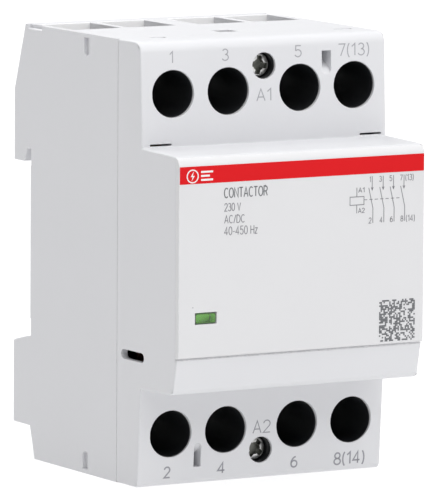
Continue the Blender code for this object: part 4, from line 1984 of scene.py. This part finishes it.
@dataclass
class Markings:
    """All print: terminal numbers, the red band, ratings, diagram and dot field."""

    plate_front: float = -58.35
    band_x: Span = (-26.85, 26.85)
    band_z: Span = (17.05, 20.35)
    upper: tuple[Word, ...] = (
        Word("1", (-20.75, -19.95), (38.3, 40.65)),
        Word("3", (-9.3, -7.75), (38.3, 40.65)),
        Word("5", (6.75, 8.35), (38.3, 40.65)),
        Word("7(13)", (16.5, 23.45), (37.75, 40.65)),
        Word("A1", (-1.8, 1.5), (30.25, 32.75)),
    )
    lower: tuple[Word, ...] = (
        Word("2", (-21.3, -19.75), (-41.2, -38.85), 0.31),
        Word("4", (-9.5, -7.7), (-41.2, -38.85), 0.31),
        Word("6", (6.8, 8.4), (-41.2, -38.85), 0.31),
        Word("8(14)", (16.5, 23.5), (-41.75, -38.75), 0.31),
        Word("A2", (-1.95, 2.05), (-33.85, -31.25)),
    )
    title: tuple[Word, ...] = (Word("CONTACTOR", (-17.3, -7.75), (14.0, 16.0), 0.2),)
    ratings: tuple[Word, ...] = (
        Word("230 V", (-17.2, -13.6), (11.5, 13.1), 0.15),
        Word("AC/DC", (-17.2, -12.75), (9.15, 10.85), 0.15),
        Word("40-450 Hz", (-17.2, -9.9), (6.95, 8.65), 0.15),
    )

    def _finish(
        self, name: str, pieces: list[Piece], ink: Ink, face: Face | None = None,
        slot: str = "label_plate",
    ) -> Piece:
        """Joins prints to one piece and lays it on its face.

        Args:
            name: The piece's name.
            pieces: Words and strokes on the plane Y = 0.
            ink: The ink.
            face: The leaning face, or None for the label plate.
            slot: The material slot.

        Returns:
            The finished print.
        """
        piece = Bench.join(*pieces)
        piece.name = name
        if face:
            face.lay(piece)
        else:
            piece.location.y = (self.plate_front - THICK / 2 + 0.01) * MM
            Bench.settle(piece)
        Bench.dress(piece, [painted(ink)], 30.0)
        return fit(piece, BODY, slot)

    def _band(self) -> Piece:
        """Wraps the red band round the plate's upper edge.

        Returns:
            The band.
        """
        low, high = self.band_z
        centre, radius = (-56.2, 20.0), 2.2
        outer, inner = [], []
        for z in (low, 18.5, 20.0):
            outer.append((self.plate_front - 0.035, z))
            inner.append((self.plate_front + 0.03, z))
        for step in range(1, 4):
            angle = math.pi - math.asin((high - centre[1]) / radius) * step / 3
            y, z = math.cos(angle), math.sin(angle)
            outer.append((centre[0] + (radius - 0.015) * y, centre[1] + radius * z))
            inner.append((centre[0] + (radius - 0.08) * y, centre[1] + (radius - 0.08) * z))
        band = Bench.bar("red_band", Axis.X, outer + inner[::-1], self.band_x)
        Bench.dress(band, [painted(RED_INK)])
        return fit(band, BODY, "label_plate")

    def _band_mark(self) -> Piece:
        """Draws a plain ring and bolt, with three bars, on the band.

        Returns:
            The mark.
        """
        centre = (-24.1, 18.5)
        pieces = [stroke(ring(centre, (1.2, 1.2)), 0.22)]
        bolt = [(0.25, 0.95), (-0.45, -0.1), (0.0, -0.1), (-0.25, -0.95), (0.45, 0.1), (0.0, 0.1)]
        outline = [(centre[0] + x, centre[1] + z) for x, z in bolt]
        pieces.append(Bench.bar("bolt", Axis.Y, outline, (-THICK / 2, THICK / 2)))
        for step, length in enumerate((2.6, 1.9, 2.6)):
            z = 19.25 - 0.75 * step
            pieces.append(stroke([(-22.3, z), (-22.3 + length, z)], 0.36))
        piece = Bench.join(*pieces)
        piece.name = "band_mark"
        piece.location.y = (self.plate_front - 0.028) * MM
        Bench.settle(piece)
        Bench.dress(piece, [painted(WHITE_INK)], 30.0)
        return fit(piece, BODY, "label_plate")

    def _diagram(self) -> Piece:
        """Draws the coil and the four contacts with their numbers.

        Returns:
            The diagram.
        """
        lines = [
            [
                (10.4, 12.0), (10.4, 11.2), (13.5, 11.2), (13.5, 12.75), (10.4, 12.75),
                (10.4, 12.0),
            ],
            [(11.9, 12.75), (11.9, 14.5)], [(11.9, 11.2), (11.9, 9.6)],
        ]
        words = [
            Word("A1", (12.2, 13.6), (13.5, 14.5), 0.13),
            Word("A2", (12.2, 13.7), (9.6, 10.6), 0.13),
        ]
        names = (("1", "2", ""), ("3", "4", ""), ("5", "6", ""), ("7", "8", "134"))
        for x, (top, bottom, extra) in zip((15.3, 17.75, 20.05, 22.4), names):
            lines += [
                [(x, 16.5), (x, 13.9)], [(x - 0.22, 14.4), (x, 13.9), (x + 0.22, 14.4)],
                [(x - 0.75, 14.35), (x + 0.2, 10.4), (x + 0.2, 7.6)],
            ]
            wide = 0.3 if top == "1" else 0.62
            words.append(Word(top, (x - 0.3 - wide, x - 0.3), (15.35, 16.5), 0.13))
            words.append(Word(bottom, (x - 0.72, x - 0.08), (7.5, 8.65), 0.13))
            if extra:
                words.append(Word("(13)", (x + 0.3, x + 2.15), (15.15, 16.6), 0.13))
                words.append(Word("(14)", (x + 0.5, x + 2.5), (7.3, 8.75), 0.13))
        lines += [[(13.5 + 1.2 * k, 12.1), (14.2 + 1.2 * k, 12.1)] for k in range(7)]
        pieces = [stroke(line, 0.14) for line in lines] + letter_all(words)
        return self._finish("wiring_diagram", pieces, GREY_INK)

    def _dot_field(self) -> Piece:
        """Prints a square of scattered cells, which encode nothing.

        Returns:
            The field.
        """
        cells, size, middle = 25, 8.0, (21.1, -11.4)
        share, seed, gap = 0.48, 11, 0.012
        Bench.hold()
        bpy.ops.mesh.primitive_grid_add(
            x_subdivisions=cells, y_subdivisions=cells, size=size * MM,
            location=(middle[0] * MM, 0.0, middle[1] * MM), rotation=Axis.Y.value,
        )
        field_piece = Bench.settle(bpy.context.object)
        draw = random.Random(seed)
        with Bench.editing(field_piece, "FACE") as mesh:
            for face in mesh.faces:
                face.select_set(draw.random() < share)
            bmesh.update_edit_mesh(field_piece.data)
            bpy.ops.mesh.delete(type="FACE")
            bpy.ops.mesh.select_all(action="SELECT")
            bpy.ops.mesh.inset(thickness=gap * MM, use_individual=True)
            bpy.ops.mesh.select_all(action="INVERT")
            bpy.ops.mesh.delete(type="FACE")
        thick = field_piece.modifiers.new("thick", "SOLIDIFY")
        thick.thickness = THICK * MM
        thick.offset = 0.0
        Bench.hold(field_piece)
        bpy.ops.object.modifier_apply(modifier=thick.name)
        return self._finish("dot_field", [field_piece], DARK_INK)

    def build(self) -> list[Piece]:
        """Prints everything and dresses it.

        Returns:
            All the prints.
        """
        dot = Bench.rod("dot", Axis.Y, (-23.9, -6.3), 0.12, (-THICK / 2, THICK / 2), 16)
        upper, white = letter_all(self.upper), "white_shell"
        return [
            self._finish("upper_numbers", upper, PALE_INK, UPPER_FACE, white),
            self._finish("lower_numbers", letter_all(self.lower), NUMBER_INK, LOWER_FACE, white),
            self._finish("title_print", letter_all(self.title), DARK_INK),
            self._finish("rating_print", letter_all(self.ratings), GREY_INK),
            self._finish("window_dot", [dot], PALE_INK),
            self._band(), self._band_mark(), self._diagram(), self._dot_field(),
        ]


# ------------------------------------------------------------------ studio


@dataclass(frozen=True)
class Lamp:
    """A square soft light: its place and size in metres, and its power in watts."""

    name: str
    place: Point
    size: float
    power: float

    def hang(self) -> None:
        """Hangs the light so that it faces the object."""
        Bench.hold()
        bpy.ops.object.light_add(type="AREA", location=self.place)
        lamp = bpy.context.object
        lamp.name = self.name
        lamp.data.size = self.size
        lamp.data.energy = self.power
        lamp.rotation_euler = (-Vector(self.place)).to_track_quat("-Z", "Y").to_euler()


@dataclass
class Studio:
    """The pale floor, the soft lights and the camera, whose places are in metres."""

    floor_z: float = -42.5
    eye: Point = (-0.648319, -1.142571, 0.159909)
    azimuth: float = -30.143
    elevation: float = 7.048
    roll: float = 0.354
    lens: float = 490.3
    sensor: float = 36.0
    view: Span = (0.05, 50.0)
    sky: float = 0.12
    floor_size: float = 12.0
    floor_tones: tuple[Colour, Colour] = ((0.30, 0.30, 0.30), (0.33, 0.33, 0.33))
    floor_glow: float = 0.73
    lamps: tuple[Lamp, ...] = (
        Lamp("soft_top", (0.0, -0.6, 1.8), 3.2, 66.0),
        Lamp("soft_back", (0.0, 1.6, 1.6), 2.4, 33.0),
        Lamp("key_right", (1.2, -1.4, 0.7), 1.0, 6.5),
    )

    def _floor(self) -> Piece:
        """Lays the floor.

        Returns:
            The floor.
        """
        Bench.hold()
        place = (0, 0, self.floor_z * MM - 2e-5)
        bpy.ops.mesh.primitive_plane_add(size=self.floor_size, location=place)
        floor = bpy.context.object
        floor.name = "studio_floor"
        recipe = Recipe("floor_white")
        shade = recipe.mix(recipe.noise(recipe.place, 40.0, 3.0), *self.floor_tones)
        white = recipe.finish(shade, 0.7, Emission_Strength=self.floor_glow)
        floor.data.materials.append(white)
        return floor

    def _camera(self) -> None:
        """Sets the camera at the viewing angle."""
        turn, rise, roll = (math.radians(v) for v in (self.azimuth, self.elevation, self.roll))
        flat = math.cos(rise)
        back = Vector((math.sin(turn) * flat, -math.cos(turn) * flat, math.sin(rise)))
        right = (-back).cross(Vector((0, 0, 1))).normalized()
        up = right.cross(-back)
        side = math.cos(roll) * right + math.sin(roll) * up
        top = -math.sin(roll) * right + math.cos(roll) * up
        frame = Matrix((side, top, back)).transposed().to_4x4()
        frame.translation = Vector(self.eye)
        bpy.ops.object.camera_add()
        camera = bpy.context.object
        camera.name = "studio_camera"
        camera.matrix_world = frame
        camera.data.lens = self.lens
        camera.data.sensor_width = self.sensor
        camera.data.clip_start, camera.data.clip_end = self.view
        bpy.context.scene.camera = camera

    def build(self) -> None:
        """Sets up the studio."""
        self._floor()
        world = bpy.data.worlds.new("studio_white")
        world.use_nodes = True
        sky = world.node_tree.nodes["Background"]
        sky.inputs["Color"].default_value = (1.0, 1.0, 1.0, 1.0)
        sky.inputs["Strength"].default_value = self.sky
        bpy.context.scene.world = world
        for lamp in self.lamps:
            lamp.hang()
        self._camera()
        bpy.context.scene.view_settings.view_transform = "Standard"


def main() -> None:
    """Builds the contactor's parts in order, then the studio, and logs how many pieces each part
    made.
    """
    logging.basicConfig(level=logging.INFO, format="%(name)s: %(message)s")
    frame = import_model()
    Bench.nodes = frame["nodes"]
    parts = (
        CoverShell(), BaseShell(), LabelPlate(), WindowLens(), WellLining(Row.TOP),
        WellLining(Row.BOTTOM), ClampScrews(), WireCages(), FixedStrips(),
        CoilTerminal(Row.TOP, 8.0), CoilTerminal(Row.BOTTOM, 38.0), Drive(), Magnet(),
        PositionFlag(), SupplyBoard(), RailClip(), Markings(),
    )
    for part in parts:
        made = part.build()
        count = len(made) if isinstance(made, list) else 1
        LOG.info("%s: %d pieces", type(part).__name__, count)
    Studio().build()


if __name__ == "__main__":
    main()
